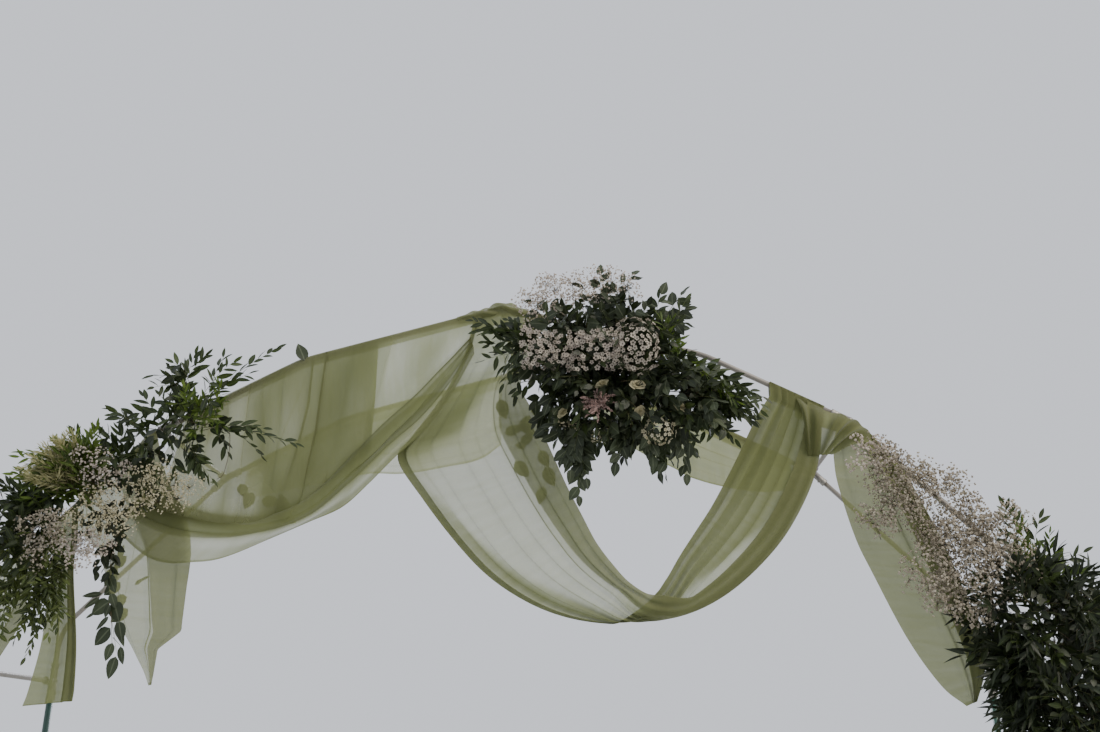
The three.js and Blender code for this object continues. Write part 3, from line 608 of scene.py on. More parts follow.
leftSwagFall = {
    # the end of the swag that comes back over the tube and falls behind it, to the band
    "pole": (-0.452, -1.128),
    "edge": [(-0.452, 2.235), (-0.52, 2.18), (-0.6, 2.11), (-0.7, 2.04), (-0.81, 1.99), (-0.93, 1.97), (-1.06, 1.985),
             (-1.19, 2.03)],
    "radius": 0.0112, "belly": 0.022, "base": 1.9,
    "falling": [
        ((0.33, 0.35, 0.41, 0.47), (0.07, 0.085, 0.095, 0.08), (1.4, 1.5, 1.4, 1.0), 0.014, 0.9),
        ((0.13, 0.15, 0.19, 0.25), (0.06, 0.07, 0.07, 0.06), (0.8, 1.0, 1.1, 0.9), 0.009, 0.8),
        ((0.6, 0.58, 0.56, 0.56), (0.055, 0.06, 0.06, 0.06), (1.1, 1.1, 0.9, 0.6), 0.01, 0.6),
        ((0.78, 0.75, 0.72, 0.7), (0.045, 0.05, 0.055, 0.05), (1.1, 1.1, 0.9, 0.6), 0.009, 0.6),
        ((0.92, 0.89, 0.86, 0.85), (0.035, 0.04, 0.045, 0.04), (1.0, 1.0, 0.8, 0.5), 0.008, 0.6),
    ],
    "flat": (0.55, 0.75),
}


def buildLeftSwagFall():
    # from behind the top of the tube down to the edge, which stands forward by the belly
    swag, y = leftSwagFall, hoop["y"]["front"]
    x, edge = np.linspace(*swag["pole"], 16), np.array(swag["edge"])
    top = overTube(x, y, math.pi * 0.72, swag["radius"])
    share = np.linspace(0, 1, len(edge)), np.linspace(0, 1, len(x))
    over = np.stack([np.interp(*share, x), np.interp(*share, top[:, 2])], -1)
    middle = atDepth((over + edge) / 2, y - 0.004)
    net = clothNet([top, middle, atDepth(edge, y - 0.012 - swag["belly"])], (0, 0.5, 1))
    s0, c0 = np.meshgrid(np.linspace(0, 1, 161), np.linspace(0, 1, 61))
    s, depth, layers = pleated(s0, c0, swag["falling"])
    points = readNet(net, s, c0)
    points[..., 1] -= depth * np.minimum(1, 6 * c0)
    hem = (s0 < 0.012) * 1.0 + 1.1 * bell(s0, 0.05, 0.09) * between(c0, 0.12, 0.80, 0.05)
    waves = 0.4 * np.sin(17 * s0 - 6 * c0) + 0.3 * np.sin(31 * s0 + 5 * c0)
    thin = 1.5 * ramp(s0, 0.55, 0.25) * between(c0, 0.35, 1.5, 0.06)
    hangCloth("leftSwagFall", points, np.maximum(1, swag["base"] + waves + layers + hem - thin), swag["flat"], "hung",
              ["frontLeftCrownTube"])


centreSwag = {
    # matching points of the outer and inner edges, from the tube at the crown round the low
    # point to the tube at the right shoulder
    "outer": [(-0.112, 2.69), (-0.138, 2.585), (-0.212, 2.43), (-0.312, 2.285), (-0.356, 2.2), (-0.262, 2.056),
              (-0.142, 1.904), (-0.03, 1.79), (0.1, 1.705), (0.23, 1.655), (0.37, 1.634), (0.5, 1.64), (0.62, 1.662),
              (0.727, 1.71), (0.829, 1.784), (0.934, 1.889), (1.009, 1.996), (1.069, 2.113), (1.101, 2.218),
              (1.116, 2.33)],
    "inner": [(0.15, 2.69), (0.1, 2.56), (0.071, 2.464), (0.105, 2.385), (0.14, 2.311), (0.19, 2.195), (0.237, 2.087),
              (0.285, 1.99), (0.33, 1.901), (0.385, 1.825), (0.44, 1.765), (0.51, 1.728), (0.555, 1.775),
              (0.605, 1.855), (0.657, 1.931), (0.715, 2.015), (0.768, 2.105), (0.822, 2.204), (0.89, 2.335),
              (0.945, 2.42)],
    "low": 0.58,   # the share of the way where the two halves cross
    # over how much of the way a line at each share across goes over to its place on the right
    "crossing": ((0, 0.35, 0.7, 1), (0.07, 0.09, 0.126, 0.085)),
    # what is added to that share for lines at each share across, so that they cross in turn
    "inTurn": ((0, 0.35, 0.7, 0.85, 1), (-0.02, -0.01, -0.022, 0.006, 0.036)),
    "fold": 0.7,   # the inner band beyond this share lies in front on the right
    "sink": 0.4,   # how far the crossing settles to the lower edge
    "radius": 0.0125, "backDrop": 0.05, "base": 1.18,
    # how far in front of the tube's axis: at the tube, more halfway along, more halfway across,
    # and where the outer edge is still behind the left swag
    "offTube": 0.0145, "belly": 0.03, "bulge": 0.008, "behindLeft": 0.01,
    # layers that each part has besides the drawn folds
    "adds": {"hem": 2.2, "corner": 2.4, "slant": 0.9, "foldedEdge": 0.5, "dense": 2.2, "right": 0.4,
             "inFront": 0.95, "fold": 1.5, "crossing": 0.8, "bunchedTop": 1.2},
    "leftPole": (-0.105, 0.165), "rightPole": (1.128, 0.945),
    "rollIn": 0.07, "foldIn": 0.26,   # the rolled hem and the strip that is turned back
    "left": [
        ((0.06, 0.06, 0.05, 0.05), (0.022, 0.02, 0.02, 0.025), (0.8, 1.2, 1.6, 2.0), 0.007, 0.3),
        ((0.66, 0.7, 0.68, 0.62), (0.03,), (1.1, 1.4, 1.7, 2.0), 0.01, 0.5),
        ((0.8, 0.82, 0.81, 0.77), (0.03,), (0.9, 1.1, 1.4, 1.6), 0.009, 0.5),
        ((0.13, 0.13, 0.13, 0.14), (0.03,), (0.1, 0.5, 1.2, 1.4), 0.008, 0.5),
        ((0.42, 0.44, 0.38, 0.32), (0.06, 0.06, 0.05, 0.04), (0.5, 0.7, 1.2, 2.0), 0.012, 0.25),
        ((0.24, 0.24, 0.2, 0.18), (0.05, 0.05, 0.04, 0.04), (0.4, 0.6, 1.3, 2.0), 0.01, 0.25),
        ((0.56, 0.56, 0.53, 0.48), (0.04,), (0.4, 0.7, 1.2, 2.0), 0.01, 0.25),
        ((0.92, 0.93, 0.92, 0.9), (0.03,), (1.0, 0.8, 1.0, 2.0), 0.007, 0.25),
    ],
    "right": [
        ((0.42, 0.42, 0.4), (0.04, 0.05, 0.045), (1.2, 0.8, 1.6), 0.008, 0.5),
        ((0.56, 0.57, 0.53), (0.035, 0.05, 0.045), (1.4, 1.2, 1.6), 0.011, 0.6),
        ((0.69, 0.71, 0.65), (0.035, 0.045, 0.04), (1.5, 1.3, 1.6), 0.011, 0.7),
        ((0.82, 0.83, 0.78), (0.03, 0.035, 0.035), (1.5, 1.3, 1.6), 0.01, 0.6),
    ],
    "flat": (0.62, 2.2),
}


def centreNet(swag, y):
    # three lines from the outer edge to the inner, each read at even shares of its points; they
    # start behind the left swag near the crown, and go out in front of it
    outer, inner, near = np.array(swag["outer"]), np.array(swag["inner"]), swag["behindLeft"]
    rows = []
    for weight in (0.0, 0.5, 1.0):
        run = np.linspace(0, 1, len(outer))
        out = swag["offTube"] + swag["belly"] * np.sin(np.pi * run) ** 0.8
        out = out + swag["bulge"] * math.sin(math.pi * weight)
        out = near + (out - near) * (1 - (1 - weight) * np.exp(-(run / 0.20) ** 4))
        rows.append(atDepth((1 - weight) * outer + weight * inner, y - out))
    return clothNet(rows, (0, 0.5, 1), byLength=False, along=401)


def centreLayers(swag, s, u, c, turned, left, inFront):
    # what the drawn folds don't show, on the left half, on the right half and where they cross
    right, half, roll, adds = 1 - left, swag["low"], swag["rollIn"], swag["adds"]
    # the rolled hem, which widens to a band of soft folds on its way to the crossing
    hem = 0.060 + 0.30 * ramp(s, 0.22, 0.32) ** 1.2
    layers = ((adds["hem"] + 0.7 * np.sin(52 * c + 3 * s)) * np.exp(-(c / hem) ** 5) * left
              * np.clip((s - 0.21) * 14, 0, 1) * np.where(c < roll, 0.45, 1))
    # crushed near the crown: a corner of two layers and a fold across it
    layers += adds["corner"] * between(c, -0.5, 0.66 - 1.5 * s, 0.05) * ramp(s, 0.225, -0.05) * ramp(s, 0.07, 0.06)
    layers += adds["slant"] * np.exp(-((c - 0.78 + 3.3 * s) / 0.13) ** 2) * ramp(s, 0.27, -0.06)
    layers += adds["foldedEdge"] * between(c, 0.70, 1.3, 0.02) * left * np.clip((s - 0.08) * 9, 0, 1)
    # dense on the right but for a long window that closes towards the tube
    shade = between(turned, np.interp(s, (0.60, 0.80), (0.60, 0.34)), 2, 0.02) + ramp(s, 0.76, 0.09)
    waves = (adds["dense"] + 0.6 * np.sin(36 * turned + 6 * s)) * (1 + 0.5 * ramp(s, 0.8, 0.15))
    waves = waves * np.clip(turned / 0.32, 0.4, 1) * np.where(u < 0, 0, np.clip(c / 0.10, 0.45, 1))
    layers += right * (1 - inFront) * (adds["right"] + waves * np.clip(shade, 0, 1))
    layers += right * inFront * (adds["inFront"] + 0.4 * np.sin(46 * turned + 5 * s))
    layers += adds["fold"] * right * bell(turned, 0, 0.06) * ramp(s, 0.84, -0.1)
    layers += adds["crossing"] * bell(s, half - 0.015, 0.045) * (1 - inFront) * (c < swag["fold"])
    layers += adds["bunchedTop"] * bell(s, 0, 0.10) * bell(c, 0, 0.5)
    return layers


def buildCentreSwag():
    # one sheet for both halves: a line at share c across takes its place of the left half and then,
    # over its crossing, that of the right half, where the sheet is turned over
    swag, y = centreSwag, hoop["y"]["front"]
    s, u = np.meshgrid(np.linspace(0, 1, 301), np.linspace(-swag["rollIn"], 1 + swag["foldIn"], 156))
    # the hems turn back behind the sheet: the share runs back into it past each edge
    c = np.where(u < 0, -u, np.where(u > 1, 2 - u, u))
    behind = 0.005 * np.clip(np.maximum(-u, u - 1) / 0.03, 0, 1)
    half, fold = swag["low"], swag["fold"]
    left = np.clip((half + np.interp(c, *swag["inTurn"]) - s) / np.interp(c, *swag["crossing"]) + 0.5, 0, 1)
    left = left * left * (3 - 2 * left)
    # on the right the band beyond the fold lies in front
    turned = np.where(c < fold, 1 - c / fold, c - fold)
    leftC, leftDepth, leftLayers = pleated(c, np.minimum(s / half, 1), swag["left"])
    rightC, rightDepth, rightLayers = pleated(turned, ramp(s, half, 1 - half), swag["right"])
    inFront = between(c, fold, 2, 0.012)
    rightC, rightDepth = rightC + (turned - rightC) * inFront, rightDepth * (1 - inFront)
    twist = np.sin(np.pi * left)
    part = np.clip(c / fold, 0, 1)
    share = left * leftC + (1 - left) * rightC - swag["sink"] * bell(s, half, 0.055) * 4 * part * (1 - part)
    points = readNet(centreNet(swag, y), s, share)
    points[..., 1] += behind - left * leftDepth - (1 - left) * rightDepth
    points[..., 1] -= inFront * (0.014 * (1 - left) + 0.015 * twist) - (1 - inFront) * 0.006 * twist
    layers = swag["base"] + left * leftLayers + (1 - left) * rightLayers * (1 - inFront)
    layers = layers + centreLayers(swag, s, u, c, turned, left, inFront)
    # the top ends go over the tube; for the right one the columns are turned about and back
    for pole, way, radius in (("rightPole", -1, swag["radius"]), ("leftPole", 1, swag["radius"] + 0.002)):
        points, layers = points[:, ::way], layers[:, ::way]
        edges = [swag[name][min(way, 0)][0] for name in ("outer", "inner")]
        x = np.interp(points[:, 0, 0], sorted(edges), sorted(swag[pole]))
        points, layers = hooked(points.transpose(1, 0, 2), layers.T, hookRows(x, y, radius, swag["backDrop"]))
        points, layers = points.transpose(1, 0, 2)[:, ::way], layers.T[:, ::way]
    hangCloth("centreSwag", points, layers, swag["flat"], "gathered", ["frontRightCrownTube"],
              ["centre_swag_left_limb", "centre_swag_right_limb"])


leftBackValance = {
    "pole": (-0.06, -1.125), "radius": 0.0125, "backDrop": 0.045, "belly": 0.022,
    "edge": [(-0.06, 2.45), (-0.149, 2.385), (-0.3, 2.35), (-0.464, 2.325), (-0.619, 2.327), (-0.85, 2.285),
             (-1.13, 2.23)],
    "base": 1.0, "flat": (0.36, 1.15), "rests": "backLeftCrownTube",
    "lengthwise": [
        ((0.72, 0.7, 0.68), (0.06, 0.05, 0.05), (0.9, 1.2, 0.9), 0.006, 0.25),
        ((0.9, 0.88, 0.86), (0.04,), (0.9, 1.1, 0.9), 0.005, 0.25),
    ],
    "falling": [(line, (0.02, 0.03), (1.2, 0.5), 0.005, 0.25)
                for line in ((0.15, 0.17), (0.36, 0.35), (0.57, 0.58), (0.8, 0.79))],
}
rightBackValance = {
    "pole": (0.3, 1.125), "radius": 0.0125, "backDrop": 0.045, "belly": 0.022,
    "edge": [(0.33, 2.52), (0.47, 2.438), (0.539, 2.394), (0.648, 2.338), (0.723, 2.295), (0.843, 2.26),
             (0.996, 2.238), (1.14, 2.248)],
    "base": 2.6, "flat": (0.34, 0.95), "rests": "backRightCrownTube",
    "lengthwise": [
        ((0.4, 0.45, 0.5), (0.06, 0.06, 0.05), (1.1, 1.3, 0.9), 0.007, 0.25),
        ((0.62, 0.62, 0.64), (0.05,), (1.1, 1.2, 0.9), 0.006, 0.25),
        ((0.86, 0.84, 0.86), (0.04,), (0.9, 0.8, 0.9), 0.005, 0.25),
    ],
    "falling": [(line, (0.025, 0.03), (1.2, 0.4), 0.005, 0.25)
                for line in ((0.22, 0.26), (0.5, 0.52), (0.78, 0.76))],
}
valances = {"left_back_valance": leftBackValance, "right_back_valance": rightBackValance}


def buildValances():
    # each hangs in front of the back tube, with its hem behind it, down to the edge
    y = hoop["y"]["back"]
    for node, cloth in valances.items():
        top = overTube(np.linspace(*cloth["pole"], 24), y, 0.0, cloth["radius"])
        out = cloth["belly"] * np.sin(np.pi * np.linspace(0.05, 1, len(cloth["edge"])))
        net = clothNet([top, atDepth(cloth["edge"], y - cloth["radius"] - 0.004 - out)], (0, 1))
        s0, c0 = np.meshgrid(np.linspace(0, 1, 141), np.linspace(0, 1, 61))
        s, fallDepth, fallLayers = pleated(s0, c0, cloth["falling"])
        c, runDepth, runLayers = pleated(c0, s0, cloth["lengthwise"])
        points = readNet(net, s, c)
        points[..., 1] -= (fallDepth + runDepth) * np.minimum(1, c0 * 8)
        layers = cloth["base"] + fallLayers + runLayers + (c0 > 0.97)
        hook = hookRows(points[0, :, 0], y, cloth["radius"], cloth["backDrop"])[:-1]
        hangCloth(camel(node), *hooked(points, layers, hook), cloth["flat"], "hung", [cloth["rests"]], [node])


rightTail = {
    "rests": "frontRightShoulderFitting", "y": -0.3673, "belly": 0.016,
    "left": [(1.185, 2.345), (1.15, 2.25), (1.142, 2.169), (1.149, 2.08), (1.186, 1.914), (1.231, 1.795),
             (1.322, 1.584), (1.412, 1.44), (1.485, 1.378)],
    "right": [(1.29, 2.262), (1.325, 2.205), (1.367, 2.15), (1.415, 2.04), (1.47, 1.9), (1.51, 1.77), (1.565, 1.56),
              (1.55, 1.47), (1.52, 1.392)],
    "folds": [
        ((0.62, 0.56, 0.6, 0.64), (0.05, 0.05, 0.04, 0.04), (1.2, 0.8, 1.1, 1.3), 0.008, 1.1),
        ((0.18, 0.14, 0.12, 0.1), (0.05,), (1.0, 0.4, 0.2, 0.1), 0.006, 0.25),
        ((0.84, 0.86, 0.88, 0.88), (0.04,), (1.2, 1.0, 0.8, 0.6), 0.006, 0.25),
    ],
    "base": 3.0, "foldIn": 0.3, "flat": (0.32, 1.02),
}
leftInnerTail = {
    "rests": "frontLeftShoulderFitting", "y": -0.3673, "belly": 0.01,
    "left": [(-1.46, 2.08), (-1.478, 2.02), (-1.44, 1.95), (-1.372, 1.89), (-1.311, 1.759), (-1.275, 1.675),
             (-1.262, 1.645), (-1.245, 1.62), (-1.215, 1.578), (-1.2, 1.555), (-1.185, 1.53), (-1.16, 1.49),
             (-1.14, 1.447)],
    "right": [(-1.228, 2.328), (-1.165, 2.15), (-1.08, 2.01), (-1.046, 1.885), (-1.046, 1.75), (-1.047, 1.65),
              (-1.047, 1.624), (-1.058, 1.61), (-1.104, 1.574), (-1.119, 1.56), (-1.122, 1.54), (-1.126, 1.49),
              (-1.131, 1.45)],
    "folds": [
        ((0.5, 0.52, 0.5, 0.46, 0.5), (0.06, 0.035, 0.03, 0.03, 0.06), (0.9, 1.3, 1.4, 1.3, 0.3), 0.008, 0.5),
        ((0.14, 0.12, 0.1, 0.1, 0.1), (0.05, 0.03, 0.03, 0.03, 0.06), (1.2, 1.3, 1.1, 0.6, 0.2), 0.006, 0.25),
        ((0.8, 0.84, 0.86, 0.86, 0.9), (0.05, 0.04, 0.03, 0.03, 0.06), (1.2, 0.9, 0.5, 0.4, 0.2), 0.006, 0.25),
    ],
    "base": 1.6, "foldIn": 0.45, "flat": (0.38, 0.9),
}
leftOuterTail = {
    "rests": "frontLeftHaunchTube", "y": -0.3628, "belly": 0.0,
    "left": [(-1.54, 1.995), (-1.532, 1.9), (-1.528, 1.8), (-1.522, 1.6), (-1.54, 1.44), (-1.552, 1.384)],
    "right": [(-1.47, 2.062), (-1.452, 1.95), (-1.446, 1.821), (-1.402, 1.595), (-1.385, 1.45), (-1.384, 1.4)],
    "folds": [
        ((0.4, 0.42, 0.44, 0.46), (0.1, 0.08, 0.06, 0.06), (1.3, 1.4, 1.5, 1.5), 0.01, 0.25),
        ((0.74, 0.74, 0.74, 0.76), (0.08, 0.07, 0.06, 0.05), (1.3, 1.4, 1.4, 1.3), 0.009, 0.25),
        ((0.92, 0.93, 0.94, 0.95), (0.05, 0.04, 0.03, 0.03), (1.0, 1.2, 1.3, 1.3), 0.006, 0.25),
    ],
    "base": 2.8, "foldIn": 0.3, "flat": (0.24, 0.66),
}
leftFarTail = {
    "rests": "frontLeftHaunchTube", "y": -0.3703, "belly": 0.0,
    "left": [(-1.72, 1.812), (-1.74, 1.72), (-1.79, 1.6), (-1.84, 1.48), (-1.87, 1.4)],
    "right": [(-1.62, 1.913), (-1.59, 1.7), (-1.64, 1.56), (-1.72, 1.44), (-1.8, 1.37)],
    "folds": [
        ((0.35, 0.4, 0.45), (0.1, 0.07, 0.07), (1.3, 1.3, 0.8), 0.008, 0.25),
        ((0.7, 0.72, 0.75), (0.08, 0.06, 0.06), (1.3, 1.2, 0.7), 0.008, 0.25),
    ],
    "base": 1.5, "foldIn": 0.25, "flat": (0.24, 0.56),
}
tails = {"right_tail": rightTail, "left_inner_tail": leftInnerTail, "left_outer_tail": leftOuterTail,
         "left_far_tail": leftFarTail}


def buildTails():
    # between the left and right edges, out by the belly halfway down, with the right hem turned
    # back behind
    for node, cloth in tails.items():
        left, right = np.array(cloth["left"]), np.array(cloth["right"])
        out = cloth["belly"] * np.sin(np.pi * np.linspace(0, 1, len(left)))
        rows = [atDepth(line, cloth["y"] - 0.002 - out) for line in (left, (left + right) / 2, right)]
        net = clothNet(rows, (0, 0.5, 1), byLength=False)
        s, u = np.meshgrid(np.linspace(0, 1, 151), np.linspace(0, 1 + cloth["foldIn"], 84))
        behind = 0.004 * np.clip((u - 1) / 0.03, 0, 1)
        c, depth, crush = pleated(np.where(u > 1, 2 - u, u), s, cloth["folds"])
        points = readNet(net, s, c)
        points[..., 1] += behind - depth * (0.4 + 0.6 * np.clip(s * 6, 0, 1))
        layers = cloth["base"] + crush + (s > 0.985)
        hangCloth(camel(node), points, layers, cloth["flat"], "hung", [cloth["rests"]], [node])


shoulderFan = {
    # the bunch where the swag's end is wound over the shoulder: folds fan from a pinch in front of
    # the tube to the top of it
    "pinch": (1.052, -0.392, 2.190), "pinchWidth": 0.085,
    "top": [(1.035, 2.404), (1.090, 2.378), (1.150, 2.355), (1.205, 2.336), (1.245, 2.312), (1.275, 2.276),
            (1.290, 2.238)],
    "topY": -0.352, "behind": (0, 0.034, -0.050),
    "bulge": 0.048, "foldDepth": 0.009, "foldTurns": 30, "flat": (0.20, 0.26),
    "layers": 3.6, "pinchLayers": 0.8, "foldLayers": 1.2,
}


def buildShoulderFan():
    # from the pinch out to the rim: a straight line, plus a bulge of sin(pi t), plus folds that
    # grow with the distance from the pinch; then over the top and down behind
    fan, share = shoulderFan, np.linspace(0, 1, 121)
    rim = spline(atDepth(fan["top"], fan["topY"]), share)
    pinch = np.array(fan["pinch"]) + np.stack([fan["pinchWidth"] * share, 0 * share, 0.005 * share], -1)
    t, last = np.linspace(0, 1, 61)[:, None], np.linspace(0, 1, 9)[1:, None]
    wave = np.sin(share * fan["foldTurns"] + 1.2 * np.sin(share * 9))
    points = pinch[None] + (rim - pinch)[None] * (t ** 0.9)[..., None]
    swell = fan["bulge"] * np.sin(np.pi * np.clip(t * 0.92, 0, 1)) ** 0.8
    folds = fan["foldDepth"] * wave * np.sin(np.pi * np.clip(t, 0.02, 0.9)) ** 0.6
    points[..., 1] -= swell + folds
    points[..., 2] += 0.012 * np.sin(np.pi * t) + 0.4 * folds
    over = rim[None] + np.array(fan["behind"]) * last[..., None]
    over[..., 2] += 0.016 * np.sin(np.pi * last) ** 0.7
    grid = np.concatenate([points, over])
    atPinch = bell(np.linspace(0, 1, len(grid))[:, None], 0, 0.12)
    crush = fan["layers"] + fan["pinchLayers"] * atPinch + fan["foldLayers"] * wave
    hangCloth("shoulderFan", grid, crush, fan["flat"], "gathered", ["frontRightShoulderFitting"])


crownBunch = {"from": -0.165, "to": 0.125, "radius": 0.021, "thin": 0.0145, "lumps": 0.006, "flat": (0.14, 0.32),
              "layers": 1.6, "foldLayers": 0.6}


def buildCrownBunch():
    # cloth crumpled over the tube at the crown: a sleeve of radius r plus lumps of two waves
    bunch = crownBunch
    x, turn = np.meshgrid(np.linspace(bunch["from"], bunch["to"], 121),
                          np.linspace(-0.35 * math.pi, 1.25 * math.pi, 61))
    wave = np.sin(44 * x + 2.0 * np.sin(2 * turn))
    lumps = bunch["lumps"] * (wave + 0.7 * np.sin(91 * x + 3 * turn + 1))
    middle = np.exp(-((x + 0.01) / 0.11) ** 4)
    radius = bunch["thin"] + (bunch["radius"] - bunch["thin"] + lumps) * middle
    points = overTube(x, hoop["y"]["front"], turn, radius)
    layers = bunch["layers"] + bunch["foldLayers"] * wave
    hangCloth("crownBunch", points, layers, bunch["flat"], "gathered", ["frontApexFitting"])


buildLeftSwag()
buildLeftSwagFall()
buildCentreSwag()
buildValances()
buildTails()
buildShoulderFan()
buildCrownBunch()
print("cloth: swags, valances and tails made")


def leafBlade(rows, width, belly, fold, droop, wave=0.0):
    # a leaf 1 long along +X: half its width is width / 2 * sin(pi * t ** belly) ** 0.8, its halves
    # rise from the rib by fold of that and its tip drops by droop * t * t
    t, side = np.linspace(0, 1, rows + 2)[1:-1, None], np.array([-1.0, 0, 1])
    half = width / 2 * np.sin(np.pi * t ** belly) ** 0.8
    rise = fold * half * abs(side) - droop * t * t + wave * half * side * np.sin(9 * t)
    body = np.stack([t + 0 * side, half * side, rise], -1).reshape(-1, 3)
    last = 3 * rows + 1
    ends = np.array([[0, 1, 2], [0, 2, 3], [last - 3, last, last - 2], [last - 2, last, last - 1]])
    return {"points": np.vstack([[0, 0, 0], body, [1, 0, -droop]]),
            "faces": [1 + gridFaces(rows, 3)[:, ::-1], ends],
            "across": np.r_[0, np.tile(side, rows), 0], "along": np.r_[0, np.repeat(t, 3), 1]}


def ruffle():
    # a double floret of baby's breath: a top, two rings of petals up and down in turn, and a base
    turn, i = np.linspace(0, 2 * np.pi, 7)[:-1], np.arange(6)
    rings = [np.stack([r * np.cos(turn + twist), r * np.sin(turn + twist), z + w * (-1.0) ** i], -1)
             for r, z, w, twist in ((0.45, 0.62, 0.12, 0.3), (1.0, 0.22, 0.24, 0.0))]
    j = (i + 1) % 6
    top, under = np.stack([0 * i, 1 + i, 1 + j], -1), np.stack([13 + 0 * i, 7 + j, 7 + i], -1)
    belt = np.stack([1 + i, 7 + i, 7 + j, 1 + j], -1)
    return {"points": np.vstack([[0, 0, 0.55], *rings, [0, 0, -0.45]]), "faces": [np.vstack([top, under]), belt],
            "across": np.zeros(14), "along": np.r_[0.2, np.full(6, 0.6), np.full(6, 1.0), 0.1]}


def starFlower(petals=5, cup=0.18):
    # round petals about a raised heart, which "along" 0 marks for its own colour
    heart = np.linspace(0, 2 * np.pi, 7)[:-1]
    points = [[0, 0, 0.10]] + [[0.26 * math.cos(a), 0.26 * math.sin(a), 0.06] for a in heart]
    along = [0.0] * 7
    fans, quads = [[0, 1 + i, 1 + (i + 1) % 6] for i in range(6)], []
    petal = ((0.2, 0, 0.02), (0.62, -0.60, 0.4), (0.62, 0.60, 0.4), (1.0, -0.40, 1.0), (1.0, 0.40, 1.0),
             (1.1, 0, 0.9))
    for k in range(petals):
        a, first = 2 * math.pi * k / petals, len(points)
        points += [[r * math.cos(a + turn), r * math.sin(a + turn), cup * z] for r, turn, z in petal]
        along += [0.3 + 0.7 * r for r, turn, z in petal]
        fans += [[first, first + 1, first + 2], [first + 3, first + 5, first + 4]]
        quads.append([first + 1, first + 3, first + 4, first + 2])
    return {"points": np.array(points), "faces": [np.array(fans), np.array(quads)],
            "across": np.zeros(len(points)), "along": np.array(along)}


def roseHead(petals=17):
    # petals a golden angle apart; each is a cup whose rim leans out more the further out it sits
    number = np.arange(petals)[:, None, None]
    u, v = np.linspace(-1, 1, 7)[None, :, None], np.linspace(0, 1, 6)[None, None]
    share = number / (petals - 1)
    a = number * goldenAngle + u * (0.95 - 0.25 * share)
    lean = 0.08 + 0.60 * share
    radius = (0.10 + 0.36 * share) * v ** 0.5 + lean * v ** 2.2 * (1 - 0.10 * u * u)
    height = (0.78 - 0.42 * share) * v ** (0.9 - 0.2 * share) - 0.10 * share * v ** 4 - 0.10 * u * u * v
    points = np.stack([radius * np.cos(a), radius * np.sin(a), height + 0 * a], -1).reshape(-1, 3)
    faces = (gridFaces(7, 6)[None] + (np.arange(petals) * 42)[:, None, None]).reshape(-1, 4)
    return {"points": points, "faces": [faces], "across": np.zeros(len(points)),
            "along": (0.25 + 0.75 * v + 0 * a).ravel()}


def copied(faces, count, size):
    # each set of faces once for each of count copies of a shape of size points
    first = (np.arange(count) * size)[:, None, None]
    return [(f[None] + first).reshape(-1, f.shape[1]) for f in faces]


def scatter(shape, at, along, up, size, tint):
    # copies of a shape: its x along, its z as near up as that allows, each with its own tint
    x = unit(along)
    z = unit(up - (up * x).sum(-1, keepdims=True) * x)
    y = np.cross(z, x)
    p, count = shape["points"], len(at)
    grown = np.broadcast_to(size, count)[:, None, None]
    points = at[:, None] + grown * (p[:, :1] * x[:, None] + p[:, 1:2] * y[:, None] + p[:, 2:] * z[:, None])
    return {"points": points.reshape(-1, 3), "faces": copied(shape["faces"], count, len(p)),
            "across": np.tile(shape["across"], count), "along": np.tile(shape["along"], count),
            "tint": np.repeat(np.broadcast_to(tint, count), len(p))}


def plant(name, batches, material, slot="foliage", smooth=True):
    # batches of copies as one piece, with their attributes
    batches = [b for b in batches if len(b["points"])]
    points, faces = joined([(b["points"], b["faces"]) for b in batches])
    merged = {k: np.concatenate([b[k] for b in batches]) for k in ("tint", "across", "along")}
    sides = sorted({f.shape[1] for f in faces})
    faces = [np.concatenate([f for f in faces if f.shape[1] == n]) for n in sides]
    return makePiece(name, points, faces, material, slot, smooth=smooth, **merged)


def arcs(start, end, arch, t):
    # points at shares t of stems that rise over their straight line by arch of its length
    reach = (end - start)[:, None]
    rise = arch * np.linalg.norm(reach, axis=-1)
    at = start[:, None] + t[..., None] * reach
    at[..., 2] += rise * np.sin(np.pi * np.clip(t, 0, 1))
    slope = reach + 0 * at
    slope[..., 2] += rise * np.pi * np.cos(np.pi * t)
    return at, unit(slope)


def stemTubes(start, end, arch, thick, steps=7, sides=4):
    # thin tubes, closed at both ends, that narrow to 40 % at the tip
    count = len(start)
    t = np.broadcast_to(np.linspace(0, 1, steps), (count, steps))
    at, tangent = arcs(start, end, arch, t)
    across = unit(np.cross(tangent, np.array([0.21, 0.95, 0.13])))
    up = np.cross(tangent, across)
    turn = np.linspace(0, 2 * np.pi, sides, endpoint=False)[:, None]
    radius = (np.broadcast_to(thick, count)[:, None] * (1 - 0.6 * t))[..., None, None]
    rings = at[:, :, None] + radius * (np.cos(turn) * across[:, :, None] + np.sin(turn) * up[:, :, None])
    size = steps * sides
    return {"points": rings.reshape(-1, 3), "faces": copied(tubeFaces(steps, sides), count, size),
            "across": np.zeros(count * size), "along": np.tile(np.repeat(np.linspace(0, 1, steps), sides), count),
            "tint": np.repeat(random.random(count), size)}


def thinSkin(material, tree, colour, bump, roughness, ior, through):
    # a thin living skin: a share of the light, through, passes it and glows, the rest it reflects
    face = addNode(tree, "BsdfPrincipled", {"Base Color": colour, "Roughness": roughness, "IOR": ior, "Normal": bump})
    glow = addNode(tree, "BsdfTranslucent", {"Color": colour})
    mixed = addNode(tree, "MixShader", {0: through, 1: face, 2: glow})
    addNode(tree, "OutputMaterial", {"Surface": mixed})
    return material


